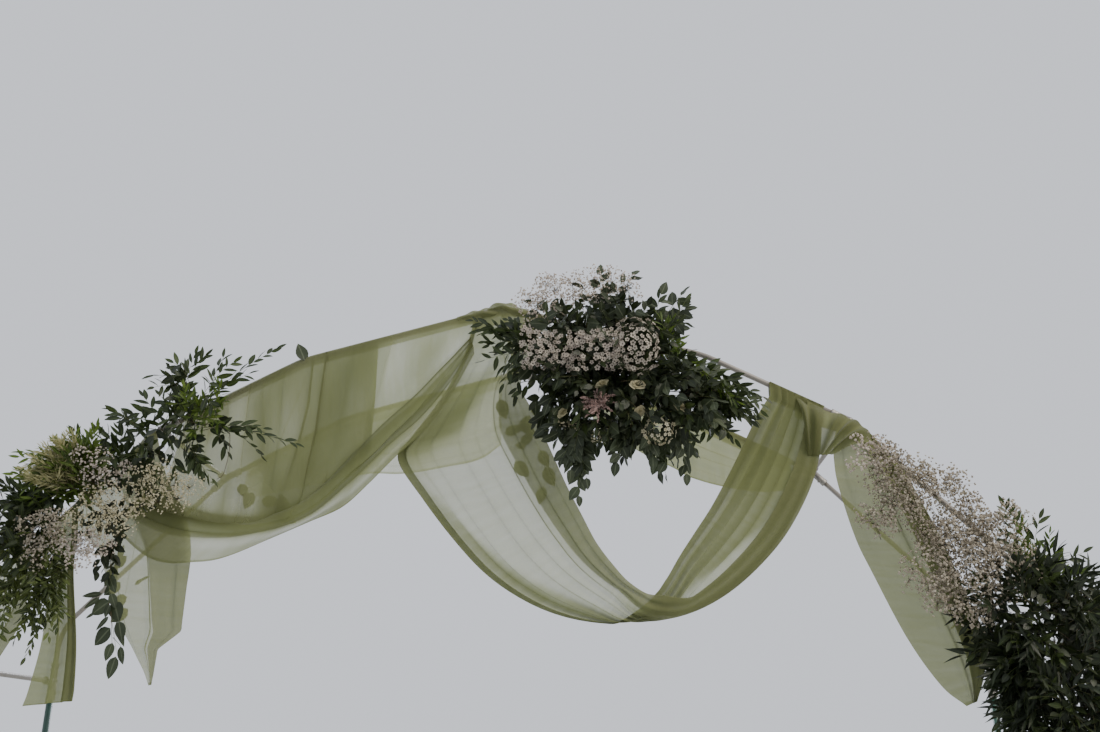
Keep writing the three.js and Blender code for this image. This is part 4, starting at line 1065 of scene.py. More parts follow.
def leafMaterial(name, dark, light, rib, roughness, through, veins=34.0):
    # waxy leaves: a paler rib and side veins, a tone of its own for each leaf, and some light
    # let through where the sun is behind it
    material, tree = newMaterial(name)
    tint, across, along = (addNode(tree, "Attribute", attribute_name=label).outputs["Fac"]
                           for label in ("tint", "across", "along"))
    where = addNode(tree, "TexCoord").outputs["Object"]
    off = addNode(tree, "Math", {0: across}, operation="ABSOLUTE")
    slanted = addNode(tree, "Math", {0: off, 1: -0.35, 2: along}, operation="MULTIPLY_ADD")
    rows = addNode(tree, "Math", {0: slanted, 1: veins}, operation="MULTIPLY")
    wave = addNode(tree, "Math", {0: rows}, operation="SINE")
    blotch = addNode(tree, "TexNoise", {"Vector": where, "Scale": 60.0, "Detail": 4.0})
    tone = addNode(tree, "Mix", {0: tint, 6: dark, 7: light}, data_type="RGBA")
    mottled = addNode(tree, "Mix", {0: blotch, 6: tone, 7: dark}, data_type="RGBA")
    ribbed = addNode(tree, "MapRange", {"Value": off, "From Min": 0.04, "From Max": 0.16,
                                        "To Min": 0.55, "To Max": 0.0})
    colour = addNode(tree, "Mix", {0: ribbed, 6: mottled, 7: rib}, data_type="RGBA")
    bump = addNode(tree, "Bump", {"Height": wave, "Strength": 0.3, "Distance": 0.0004})
    return thinSkin(material, tree, colour, bump, roughness, 1.45, through)


def petalMaterial(name, pale, deep, heart, through=0.35):
    # matt thin petals that pass soft light: paler at the rim, a darker heart, a tint for each
    material, tree = newMaterial(name)
    tint, along = (addNode(tree, "Attribute", attribute_name=label).outputs["Fac"] for label in ("tint", "along"))
    tone = addNode(tree, "Mix", {0: tint, 6: pale, 7: deep}, data_type="RGBA")
    inner = addNode(tree, "MapRange", {"Value": along, "From Min": 0.12, "From Max": 0.5,
                                       "To Min": 1.0, "To Max": 0.0})
    colour = addNode(tree, "Mix", {0: inner, 6: tone, 7: heart}, data_type="RGBA")
    where = addNode(tree, "TexCoord").outputs["Object"]
    crease = addNode(tree, "TexNoise", {"Vector": where, "Scale": 700.0})
    bump = addNode(tree, "Bump", {"Height": crease, "Strength": 0.2, "Distance": 0.0004})
    return thinSkin(material, tree, colour, bump, 0.7, 1.4, through)


def stemMaterial():
    # green stems that turn woody brown towards their base
    material, tree = newMaterial("leafyStem")
    along = addNode(tree, "Attribute", attribute_name="along").outputs["Fac"]
    tone = addNode(tree, "Mix", {0: along, 6: "#4a3a2b", 7: "#5d6b3c"}, data_type="RGBA")
    shader = addNode(tree, "BsdfPrincipled", {"Base Color": tone, "Roughness": 0.6, "IOR": 1.45})
    addNode(tree, "OutputMaterial", {"Surface": shader})
    return material


stemSkin = stemMaterial()
# each kind: its blade, its length and the gap between leaves, the share of stem left bare, the
# angle to the stem, how far the leaves hang and how far they tumble out of their plane
kinds = {
    "ruscus": {"blade": leafBlade(4, 0.33, 0.85, 0.25, 0.08), "size": 0.058, "gap": 0.02, "bare": 0.12, "angle": 48,
               "hang": 0.05, "tumble": 0.45, "thick": 0.0011, "arch": 0.1,
               "skin": leafMaterial("ruscusLeaf", "#263118", "#4b5b29", "#5a6838", 0.45, 0.28)},
    "bright": {"blade": leafBlade(4, 0.26, 0.8, 0.3, 0.1), "size": 0.05, "gap": 0.015, "bare": 0.15, "angle": 42,
               "hang": 0.05, "tumble": 0.5, "thick": 0.001, "arch": 0.08,
               "skin": leafMaterial("pistacheLeaf", "#41571d", "#7b9138", "#93a552", 0.45, 0.42)},
    "feather": {"blade": leafBlade(2, 0.15, 0.9, 0.2, 0.05), "size": 0.034, "gap": 0.0045, "bare": 0.2, "angle": 40,
                "hang": 0.03, "tumble": 0.6, "thick": 0.0008, "arch": 0.06,
                "skin": leafMaterial("fernFrond", "#a3a06a", "#dcd8ae", "#dcd8b8", 0.6, 0.4)},
    "cascade": {"blade": leafBlade(3, 0.36, 0.85, 0.2, 0.1), "size": 0.04, "gap": 0.013, "bare": 0.05, "angle": 58,
                "hang": 0.1, "tumble": 0.7, "thick": 0.0009, "arch": 0.03,
                "skin": leafMaterial("trailingLeaf", "#2f3c17", "#7d8b48", "#8a9653", 0.45, 0.34)},
    "eucalyptus": {"blade": leafBlade(5, 0.62, 0.78, 0.12, 0.1, 0.12), "size": 0.066, "gap": 0.026, "bare": 0.05,
                   "angle": 62, "hang": 0.45, "tumble": 0.45, "thick": 0.0013, "arch": 0.05,
                   "skin": leafMaterial("eucalyptusLeaf", "#2a3320", "#535d41", "#6b735a", 0.52, 0.22, 22.0)},
    "salal": {"blade": leafBlade(4, 0.55, 0.75, 0.16, 0.12, 0.1), "size": 0.05, "gap": 0.02, "bare": 0.05,
              "angle": 60, "hang": 0.22, "tumble": 0.7, "thick": 0.0013, "arch": 0.04,
              "skin": leafMaterial("salalLeaf", "#1c2512", "#353f1f", "#3f4a28", 0.48, 0.15)},
    "blade": {"blade": leafBlade(4, 0.15, 0.7, 0.3, 0.16), "size": 0.085, "gap": 0.013, "bare": 0.1, "angle": 38,
              "hang": 0.08, "tumble": 0.5, "thick": 0.0013, "arch": 0.06,
              "skin": leafMaterial("narrowLeaf", "#1b2413", "#333f22", "#414c2c", 0.48, 0.15)},
}
floret, star = ruffle(), starFlower()
petalSkins = {
    "cream": petalMaterial("creamGypsophila", "#dcd6bb", "#bdb593", "#a79e7b"),
    "blush": petalMaterial("blushGypsophila", "#dbd2c6", "#b9ad9f", "#a69a8c"),
    "mauve": petalMaterial("mauveGypsophila", "#c8c0ae", "#9a8f7e", "#7e7463"),
    "wax": petalMaterial("waxFlower", "#bdb5a5", "#a0958a", "#2a1f1c", 0.2),
    "rose": petalMaterial("creamRose", "#bdb695", "#a7a17c", "#8d8760"),
    "astilbe": petalMaterial("astilbePlume", "#c7ada3", "#9b8079", "#8a716a"),
}


def distanceInside(points, outline):
    # how far (x, z) points lie inside a closed outline: their least distance from its edges,
    # negative where a level line to the right of them crosses it an even number of times
    a = np.asarray(outline, float)
    b = np.roll(a, -1, axis=0)
    edge, rel = b - a, points[:, None] - a
    t = np.clip((rel * edge).sum(-1) / (edge ** 2).sum(-1), 0, 1)
    gap = np.linalg.norm(rel - t[..., None] * edge, axis=-1).min(1)
    level = points[:, 1, None]
    crosses = (a[:, 1] > level) != (b[:, 1] > level)
    at = a[:, 0] + (level - a[:, 1]) * edge[:, 0] / np.where(edge[:, 1] == 0, 1e-9, edge[:, 1])
    return np.where((crosses & (points[:, 0, None] < at)).sum(1) % 2 == 1, gap, -gap)


def spreadInside(outline, count, margin):
    # the first count of many random points that lie more than the margin inside an outline
    low, high = np.min(outline, axis=0), np.max(outline, axis=0)
    tries = low + (high - low) * random.random((count * 12, 2))
    return tries[distanceInside(tries, outline) > margin][:count]


# a garland's rounded mass: how far in it has its full depth, and how far past its front and its
# middle plane leaves may go
mass = {"fullFrom": 0.09, "pastFront": 0.025, "pastMiddle": 0.075}


def deepened(flat, garden):
    # (x, z) points given a depth inside the rounded mass that an outline stands for: its half
    # thickness is depth times the root of the distance in over that of the full depth
    share = np.clip(distanceInside(flat, garden["outline"]) / mass["fullFrom"], 0.05, 1)
    half = garden["depth"] * np.sqrt(share)
    return atDepth(flat, garden["y"] + half * random.uniform(-1, 0.8, len(flat)))


# how leaves vary: the stems' arch, how far they turn from the front and stray, their sizes, and
# their tints, leaf by leaf and stem by stem
growth = {"arch": (0.2, 1.8), "turned": 0.55, "stray": 0.14, "sizes": (0.78, 1.15), "tint": (0.4, 0.28),
          "stemTint": 0.15}


def leavesOn(start, end, kind):
    # leaves stand in two ranks along each stem, smaller towards the tip, one in line at the end
    arch = kind["arch"] * random.uniform(*growth["arch"], (len(start), 1))
    length = np.linalg.norm(end - start, axis=-1, keepdims=True)
    order = np.arange(int(length.max() / kind["gap"]) + 1)[None]
    t = 1 - order * kind["gap"] / length
    at, tangent = arcs(start, end, arch, t)
    facing = unit(np.array([0, -1, 0.2]) + random.normal(0, growth["turned"], (len(start), 1, 3)))
    side = unit(np.cross(tangent, facing))
    angle = np.radians(kind["angle"]) * (1 - 0.3 * t) * (order > 0)
    rank = np.where(order % 2, 1.0, -1.0)
    along = np.cos(angle)[..., None] * tangent + (rank * np.sin(angle))[..., None] * side
    along = along + random.normal(0, growth["stray"], at.shape) - np.array([0, 0, kind["hang"]])
    up = facing + random.normal(0, kind["tumble"], at.shape)
    size = kind["size"] * (0.60 + 0.40 * np.sin(np.pi * (0.22 + 0.70 * t)))
    size = size * random.uniform(*growth["sizes"], t.shape)
    tint = random.normal(*growth["tint"], t.shape) + random.normal(0, growth["stemTint"], (len(start), 1))
    tint = np.clip(tint, 0, 1)
    keep = t > kind["bare"]
    leaves = scatter(kind["blade"], at[keep], along[keep], up[keep], size[keep], tint[keep])
    return leaves, stemTubes(start, end, arch, kind["thick"])


# how the florets of a puff vary: their reach from its centre, the puff's own size, how far they
# turn, their sizes and tints, and the share of them that show a thread, with its radius
puff = {"reach": (0.25, 1), "grown": (0.8, 1.15), "turned": 0.5, "sizes": (0.7, 1.2), "tint": (0.4, 0.3),
        "threads": 0.32, "thread": 0.00045}


def puffsOf(centres, radius, each, size):
    # baby's breath: florets on a ball round each centre, facing outwards, some on threads from it
    owner = np.repeat(np.arange(len(centres)), each)
    aim = unit(random.normal(0, 1, (len(owner), 3)) + np.array([0, -0.55, 0.2]))
    reach = radius * random.uniform(*puff["reach"], len(owner)) ** 0.5
    reach = reach * random.uniform(*puff["grown"], len(centres))[owner]
    at = centres[owner] + aim * reach[:, None]
    facing = unit(aim + random.normal(0, puff["turned"], aim.shape))
    side = unit(np.cross(facing, random.normal(0, 1, aim.shape)))
    tint = np.clip(random.normal(*puff["tint"], len(owner)), 0, 1)
    heads = scatter(floret, at, side, facing, size * random.uniform(*puff["sizes"], len(owner)), tint)
    some = random.random(len(owner)) < puff["threads"]
    return heads, stemTubes(centres[owner][some], at[some], 0.08, puff["thread"], steps=3, sides=3)


leftShoulder = {
    "node": "left_shoulder_garland", "y": -0.475, "depth": 0.1,
    "outline": [(-0.95, 2.46), (-1.04, 2.49), (-1.13, 2.44), (-1.22, 2.34), (-1.33, 2.24), (-1.42, 2.2),
                (-1.52, 2.15), (-1.56, 2.08), (-1.5, 2.03), (-1.38, 2.06), (-1.25, 2.12), (-1.1, 2.2), (-0.99, 2.27),
                (-0.93, 2.36)],
    # leaves all through the mass: kind, stems and their length
    "fill": [("salal", 16, 0.09), ("ruscus", 34, 0.11)],
    "sprays": [
        # kind, start, stems for each end, how far they stray, y at the start and end, the ends
        ("ruscus", (-1.05, 2.36), 1, 0.015, (-0.45, -0.44), [(-0.8, 2.59), (-0.95, 2.545), (-0.89, 2.5)]),
        ("ruscus", (-1.15, 2.27), 2, 0.035, (-0.46, -0.5),
         [(-1.03, 2.55), (-1.13, 2.48), (-1.23, 2.4), (-1.32, 2.33), (-1.08, 2.42), (-0.96, 2.4)]),
        ("ruscus", (-1.02, 2.28), 1, 0.02, (-0.5, -0.5), [(-0.685, 2.225), (-0.8, 2.19), (-0.8, 2.28)]),
        ("ruscus", (-1.08, 2.24), 2, 0.03, (-0.5, -0.52), [(-0.95, 2.1), (-0.99, 2.13), (-1.07, 2.1)]),
        ("ruscus", (-1.3, 2.17), 4, 0.05, (-0.46, -0.53),
         [(-1.15, 2.13), (-1.4, 2.22), (-1.24, 2.3), (-1.36, 2.27), (-1.2, 2.18)]),
        ("bright", (-1.01, 2.3), 3, 0.02, (-0.5, -0.55),
         [(-1.06, 2.41), (-0.97, 2.42), (-0.93, 2.36), (-0.94, 2.29), (-1.1, 2.36), (-1.03, 2.25)]),
        ("bright", (-1.38, 2.08), 7, 0.04, (-0.47, -0.57),
         [(-1.59, 2.17), (-1.55, 2.06), (-1.48, 2.22), (-1.35, 2.19), (-1.4, 2.16), (-1.6, 2.11), (-1.45, 2.14),
          (-1.52, 2.12)]),
        ("feather", (-1.42, 2.1), 9, 0.03, (-0.54, -0.6),
         [(-1.565, 2.12), (-1.415, 2.245), (-1.495, 2.2), (-1.54, 2.16), (-1.46, 2.225)]),
        ("bright", (-1.38, 2.1), 3, 0.03, (-0.52, -0.585),
         [(-1.53, 2.14), (-1.5, 2.18), (-1.46, 2.21), (-1.41, 2.24), (-1.35, 2.25), (-1.56, 2.09), (-1.46, 2.14),
          (-1.4, 2.18), (-1.33, 2.21)]),
        ("salal", (-1.35, 2.05), 1, 0.05, (-0.43, -0.46),
         [(-1.25, 1.93), (-1.4, 1.92), (-1.3, 1.96), (-1.18, 2.02), (-1.1, 2.06)]),
    ],
    # tone, radius, florets, their size, the centres
    "puffs": [
        ("blush", 0.044, 62, 0.0042, [(-1.38, 2.17), (-1.31, 2.15), (-1.24, 2.13), (-1.34, 2.1), (-1.28, 2.09)]),
        ("cream", 0.052, 72, 0.0038,
         [(-1.16, 2.1), (-1.1, 2.1), (-1.19, 2.05), (-1.13, 2.06), (-1.06, 2.07), (-1.01, 2.06), (-1.26, 2.04),
          (-1.17, 2.0), (-1.1, 2.01), (-1.04, 2.02)]),
    ],
    "puffY": -0.565,
}
leftHaunch = {
    "node": "left_haunch_garland", "y": -0.47, "depth": 0.1,
    "outline": [(-1.6, 2.08), (-1.68, 2.0), (-1.76, 1.88), (-1.77, 1.76), (-1.7, 1.68), (-1.6, 1.65), (-1.52, 1.67),
                (-1.46, 1.72), (-1.44, 1.8), (-1.52, 1.92)],
    "fill": [("salal", 12, 0.09), ("cascade", 40, 0.13), ("ruscus", 12, 0.11)],
    "sprays": [
        ("ruscus", (-1.52, 1.96), 4, 0.04, (-0.46, -0.55),
         [(-1.69, 2.09), (-1.72, 1.97), (-1.63, 1.92), (-1.6, 2.03), (-1.74, 1.86), (-1.57, 2.09), (-1.49, 2.04),
          (-1.66, 2.02), (-1.61, 1.84)]),
        ("cascade", (-1.52, 1.86), 4, 0.05, (-0.46, -0.52),
         [(-1.61, 1.61), (-1.47, 1.57), (-1.42, 1.59), (-1.4, 1.65), (-1.53, 1.58), (-1.7, 1.64), (-1.43, 1.7),
          (-1.62, 1.72), (-1.5, 1.65)]),
        ("salal", (-1.28, 1.9), 2, 0.02, (-0.47, -0.48), [(-1.27, 1.78), (-1.31, 1.8)]),
    ],
    "puffs": [
        ("cream", 0.055, 70, 0.0039,
         [(-1.33, 2.03), (-1.35, 1.97), (-1.28, 1.98), (-1.21, 1.97), (-1.3, 1.92), (-1.25, 1.93), (-1.2, 1.94),
          (-1.38, 1.93)]),
        ("blush", 0.045, 62, 0.0042,
         [(-1.39, 1.87), (-1.35, 1.88), (-1.31, 1.89), (-1.36, 1.83), (-1.32, 1.84), (-1.27, 1.87)]),
        ("mauve", 0.045, 80, 0.0041,
         [(-1.53, 1.94), (-1.48, 1.96), (-1.43, 1.95), (-1.5, 1.88), (-1.45, 1.89), (-1.41, 1.91), (-1.48, 1.83)]),
    ],
    "puffY": -0.56,
}
crown = {
    "node": "crown_bouquet", "y": -0.47, "depth": 0.12,
    "outline": [(0.07, 2.58), (0.13, 2.64), (0.24, 2.66), (0.36, 2.67), (0.48, 2.68), (0.53, 2.62), (0.57, 2.52),
                (0.66, 2.42), (0.78, 2.34), (0.76, 2.28), (0.66, 2.29), (0.58, 2.24), (0.5, 2.24), (0.4, 2.26),
                (0.3, 2.24), (0.26, 2.3), (0.19, 2.38), (0.12, 2.48)],
    "fill": [("salal", 150, 0.1), ("eucalyptus", 90, 0.12), ("ruscus", 40, 0.11)],
    "sprays": [
        ("ruscus", (0.14, 2.56), 2, 0.02, (-0.5, -0.46),
         [(-0.094, 2.68), (-0.075, 2.64), (-0.05, 2.6), (0.02, 2.63), (0.03, 2.68), (-0.02, 2.655)]),
        ("ruscus", (0.1, 2.58), 1, 0.02, (-0.5, -0.47), [(-0.045, 2.53), (0.02, 2.44), (0.06, 2.4), (0.01, 2.49)]),
        ("ruscus", (0.62, 2.42), 5, 0.03, (-0.48, -0.5),
         [(0.895, 2.37), (0.849, 2.288), (0.795, 2.223), (0.87, 2.31), (0.76, 2.39), (0.7, 2.43), (0.83, 2.35),
          (0.73, 2.25)]),
        ("ruscus", (0.56, 2.56), 2, 0.02, (-0.47, -0.5), [(0.651, 2.72), (0.62, 2.64), (0.56, 2.735)]),
        ("bright", (0.56, 2.54), 2, 0.02, (-0.49, -0.55),
         [(0.6, 2.63), (0.63, 2.56), (0.66, 2.5), (0.72, 2.42), (0.8, 2.34), (0.56, 2.64)]),
        ("salal", (0.48, 2.5), 4, 0.02, (-0.46, -0.5),
         [(0.47, 2.72), (0.51, 2.69), (0.54, 2.66), (0.5, 2.64), (0.56, 2.62), (0.44, 2.7)]),
        ("salal", (0.3, 2.48), 4, 0.02, (-0.46, -0.52),
         [(0.14, 2.6), (0.17, 2.57), (0.36, 2.58), (0.39, 2.56), (0.32, 2.6), (0.25, 2.62), (0.21, 2.56)]),
        ("eucalyptus", (0.36, 2.6), 1, 0.01, (-0.5, -0.5),
         [(0.356, 2.83), (0.43, 2.8), (0.3, 2.78), (0.47, 2.83), (0.39, 2.76)]),
        ("eucalyptus", (0.55, 2.62), 1, 0.01, (-0.48, -0.48), [(0.64, 2.755), (0.65, 2.7), (0.57, 2.76)]),
        ("eucalyptus", (0.27, 2.3), 2, 0.02, (-0.5, -0.52),
         [(0.275, 2.03), (0.22, 2.16), (0.3, 2.09), (0.16, 2.26), (0.25, 2.12), (0.2, 2.22)]),
        ("eucalyptus", (0.47, 2.29), 2, 0.02, (-0.52, -0.53),
         [(0.451, 2.18), (0.4, 2.14), (0.52, 2.16), (0.38, 2.22)]),
        ("eucalyptus", (0.58, 2.28), 1, 0.015, (-0.5, -0.52),
         [(0.56, 2.11), (0.629, 2.1), (0.66, 2.18), (0.6, 2.16)]),
        ("salal", (0.4, 2.42), 7, 0.05, (-0.47, -0.585),
         [(0.2, 2.4), (0.3, 2.34), (0.55, 2.36), (0.62, 2.3), (0.42, 2.32), (0.66, 2.44), (0.15, 2.5), (0.6, 2.55)]),
    ],
    "puffs": [
        ("blush", 0.064, 92, 0.004,
         [(0.15, 2.72), (0.2, 2.77), (0.26, 2.79), (0.34, 2.8), (0.23, 2.71), (0.3, 2.73), (0.4, 2.81), (0.13, 2.67),
          (0.17, 2.8), (0.37, 2.74), (0.45, 2.76), (0.1, 2.73)]),
        ("cream", 0.03, 44, 0.0038, [(0.26, 2.27), (0.22, 2.29), (0.34, 2.23), (0.37, 2.24)]),
    ],
    "puffY": -0.5,
}
rightBlossom = {
    "node": "right_gypsophila", "y": -0.47, "depth": 0.085,
    "outline": [(1.27, 2.23), (1.344, 2.18), (1.436, 2.14), (1.504, 2.11), (1.55, 2.05), (1.6, 1.98), (1.665, 1.95),
                (1.67, 1.88), (1.64, 1.81), (1.6, 1.74), (1.59, 1.67), (1.555, 1.61), (1.51, 1.6), (1.47, 1.63),
                (1.4, 1.64), (1.34, 1.69), (1.31, 1.74), (1.38, 1.8), (1.33, 1.9), (1.23, 1.88), (1.18, 1.94),
                (1.22, 2.02), (1.17, 2.12), (1.18, 2.2)],
    "fill": [],
    "sprays": [],
    "puffs": [
        ("blush", 0.036, 34, 0.005,
         [(1.19, 2.2), (1.21, 2.16), (1.18, 2.12), (1.25, 2.19), (1.23, 2.11), (1.28, 2.15)]),
        ("mauve", 0.046, 44, 0.0048,
         [(1.32, 1.78), (1.36, 1.72), (1.43, 1.67), (1.51, 1.63), (1.41, 1.79), (1.55, 1.77), (1.49, 1.72),
          (1.57, 1.7), (1.45, 1.75), (1.35, 1.82), (1.55, 1.83), (1.2, 1.96), (1.26, 1.92), (1.4, 1.73), (1.5, 1.8),
          (1.53, 1.87), (1.59, 1.8), (1.6, 1.87), (1.31, 1.75), (1.38, 1.67), (1.46, 1.64), (1.48, 1.86),
          (1.42, 1.85)]),
    ],
    "puffY": -0.53,
    "blossom": ("mauve", 114, 0.052, 42, 0.0044),
}
rightFoliage = {
    "node": "right_foliage", "y": -0.455, "depth": 0.115,
    "outline": [(1.56, 1.68), (1.62, 1.75), (1.7, 1.77), (1.78, 1.75), (1.86, 1.75), (1.9, 1.68), (1.91, 1.55),
                (1.9, 1.32), (1.85, 1.16), (1.76, 1.09), (1.68, 1.14), (1.63, 1.28), (1.6, 1.42), (1.58, 1.55)],
    "fill": [("salal", 230, 0.09), ("blade", 190, 0.12), ("ruscus", 150, 0.12)],
    "sprays": [
        ("blade", (1.66, 1.48), 4, 0.03, (-0.45, -0.5),
         [(1.53, 1.39), (1.535, 1.46), (1.55, 1.33), (1.53, 1.57), (1.57, 1.25)]),
        # thin sprays along the tube above the mass
        ("bright", (1.74, 1.68), 2, 0.03, (-0.45, -0.48),
         [(1.67, 1.86), (1.74, 1.86), (1.8, 1.82), (1.86, 1.78), (1.7, 1.93), (1.78, 1.9)]),
        ("ruscus", (1.72, 1.7), 1, 0.02, (-0.44, -0.47), [(1.655, 1.99), (1.64, 1.9), (1.88, 1.84), (1.76, 1.95)]),
        ("blade", (1.78, 1.3), 4, 0.04, (-0.45, -0.48), [(1.82, 1.08), (1.72, 1.08), (1.9, 1.2), (1.66, 1.15)]),
    ],
    # the gypsophila goes on over it
    "puffs": [
        ("mauve", 0.048, 50, 0.0042,
         [(1.63, 1.8), (1.65, 1.86), (1.62, 1.92), (1.66, 1.93), (1.68, 1.82), (1.61, 1.76), (1.67, 1.76),
          (1.62, 1.7), (1.64, 1.97), (1.6, 1.86)]),
    ],
    "puffY": -0.52,
}
gardens = {"leftShoulder": leftShoulder, "leftHaunch": leftHaunch, "crown": crown, "rightBlossom": rightBlossom,
           "rightFoliage": rightFoliage}


# the stems that fill a mass: how far in they start, the share without a pull outwards, how much
# they point down and forward, how far they spread, and their lengths
filling = {"margin": 0.004, "noPull": 0.45, "down": 0.25, "forward": 0.9, "spread": 0.45, "lengths": (0.6, 1.1)}


def fillStems(garden, count, length):
    # each points the way in which the distance inside the outline falls, less what points it down,
    # and at random; behind the middle plane it points a little back
    outline = np.array(garden["outline"])
    flat = spreadInside(outline, count, filling["margin"])
    start = deepened(flat, garden)
    step = 0.01
    gain = np.stack([distanceInside(flat + [step, 0], outline) - distanceInside(flat - [step, 0], outline),
                     distanceInside(flat + [0, step], outline) - distanceInside(flat - [0, step], outline)], -1)
    out = -gain / (2 * step) * (random.random((len(flat), 1)) > filling["noPull"])
    aim = atDepth(out - [0, filling["down"]], -filling["forward"])
    aim += random.normal(0, filling["spread"], start.shape)
    aim[:, 1] = np.where(start[:, 1] < garden["y"], aim[:, 1], abs(aim[:, 1]) * 0.2)
    return start, start + unit(aim) * length * random.uniform(*filling["lengths"], (len(start), 1))


def sprayStems(spray):
    # each stems to every end, all but the first of them shorter and astray
    start, each, stray, (y0, y1), ends = spray
    end = atDepth(np.repeat(np.array(ends), each, axis=0), y1)
    count = len(end)
    start = atDepth(np.tile(start, (count, 1)), y0) + random.normal(0, stray, (count, 3)) * [1, 0.5, 1]
    shorter = random.uniform(0.0, 0.35, (count, 1)) * (np.arange(count) % each > 0)[:, None]
    return start, end + shorter * (start - end) + random.normal(0, stray, end.shape) * [0.5, 0.7, 0.5] * (shorter > 0)


def buildGarden(name, garden):
    # one piece for each kind of leaf, one for each tone of florets and one for all the stems
    leaves, heads, stems = {}, {}, []
    # nothing comes forward or back further than the mass may
    nearest = garden["y"] - garden["depth"] - mass["pastFront"]
    furthest = garden["y"] + mass["pastMiddle"]

    def add(pieces, key, made):
        pieces.setdefault(key, []).append(made[0])
        stems.append(made[1])

    def addLeaves(kind, lines):
        for points in lines:
            points[:, 1] = np.clip(points[:, 1], nearest, furthest)
        add(leaves, kind, leavesOn(*lines, kinds[kind]))

    for kind, count, length in garden["fill"]:
        addLeaves(kind, fillStems(garden, count, length))
    for kind, *spray in garden["sprays"]:
        addLeaves(kind, sprayStems(spray))
    for tone, radius, each, size, centres in garden["puffs"]:
        at = atDepth(centres, garden["puffY"] + random.normal(0, 0.012, len(centres)))
        add(heads, tone, puffsOf(at, radius, each, size))
    if "blossom" in garden:
        tone, count, radius, each, size = garden["blossom"]
        at = deepened(spreadInside(garden["outline"], count, 0.03), garden)
        add(heads, tone, puffsOf(at, radius, each, size))
        base = at + np.array([0.08, 0.02, -0.16]) * random.uniform(0.15, 0.40, (len(at), 1))
        stems.append(stemTubes(base, at, 0.1, 0.0011))
    made = [plant(name + kind.capitalize(), parts, kinds[kind]["skin"]) for kind, parts in leaves.items()]
    made += [plant(name + tone.capitalize() + "Florets", parts, petalSkins[tone], "gypsophila", smooth=False)
             for tone, parts in heads.items()]
    plant(name + "Stems", stems, stemSkin)
    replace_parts(made[-1 if "blossom" in garden else 0], garden["node"])


focal = {
    "dome": {"at": (0.471, -0.6, 2.521), "radius": (0.088, 0.054, 0.098), "flowers": 130, "size": 0.0086},
    "band": {"outline": [(0.085, 2.59), (0.267, 2.573), (0.42, 2.588), (0.45, 2.47), (0.416, 2.432),
                         (0.266, 2.44), (0.095, 2.445)],
             "flowers": 300, "size": 0.0082, "y": -0.595, "bulge": 0.03},
    "hydrangea": {"at": (0.541, -0.56, 2.232), "radius": (0.056, 0.04, 0.046), "flowers": 48, "size": 0.0074},
    "roses": [((0.359, -0.59, 2.387), 0.024, (-0.5, -1, 0.9)), ((0.474, -0.6, 2.377), 0.028, (0.2, -1, 0.8)),
              ((0.229, -0.57, 2.298), 0.022, (-0.8, -1, 0.5)), ((0.609, -0.58, 2.308), 0.025, (0.7, -1, 0.6)),
              ((0.478, -0.575, 2.3), 0.019, (0.5, -1, -0.5))],
    "astilbe": {"at": (0.344, -0.595, 2.312), "reach": (0.066, 0.035, 0.052), "plumes": 30, "florets": 22,
                "size": 0.0032},
}


def starsOn(at, facing, size, tint):
    # star flowers that face a way, turned about it at random
    side = unit(np.cross(facing, random.normal(0, 1, facing.shape)))
    return scatter(star, at, side, facing, size * random.uniform(0.8, 1.15, len(at)), tint)


def dome(spot):
    # flowers over the front of an ellipsoid, on a sunflower spiral, facing out of it
    k = np.arange(spot["flowers"]) + 0.5
    cosine = 1 - 1.15 * k / spot["flowers"]
    sine, turn = np.sqrt(1 - cosine ** 2), k * goldenAngle
    out = np.stack([sine * np.cos(turn), -cosine, sine * np.sin(turn)], -1)
    at = np.array(spot["at"]) + out * np.array(spot["radius"]) * random.uniform(0.78, 1.08, (len(k), 1))
    return at, unit(out + random.normal(0, 0.30, out.shape))


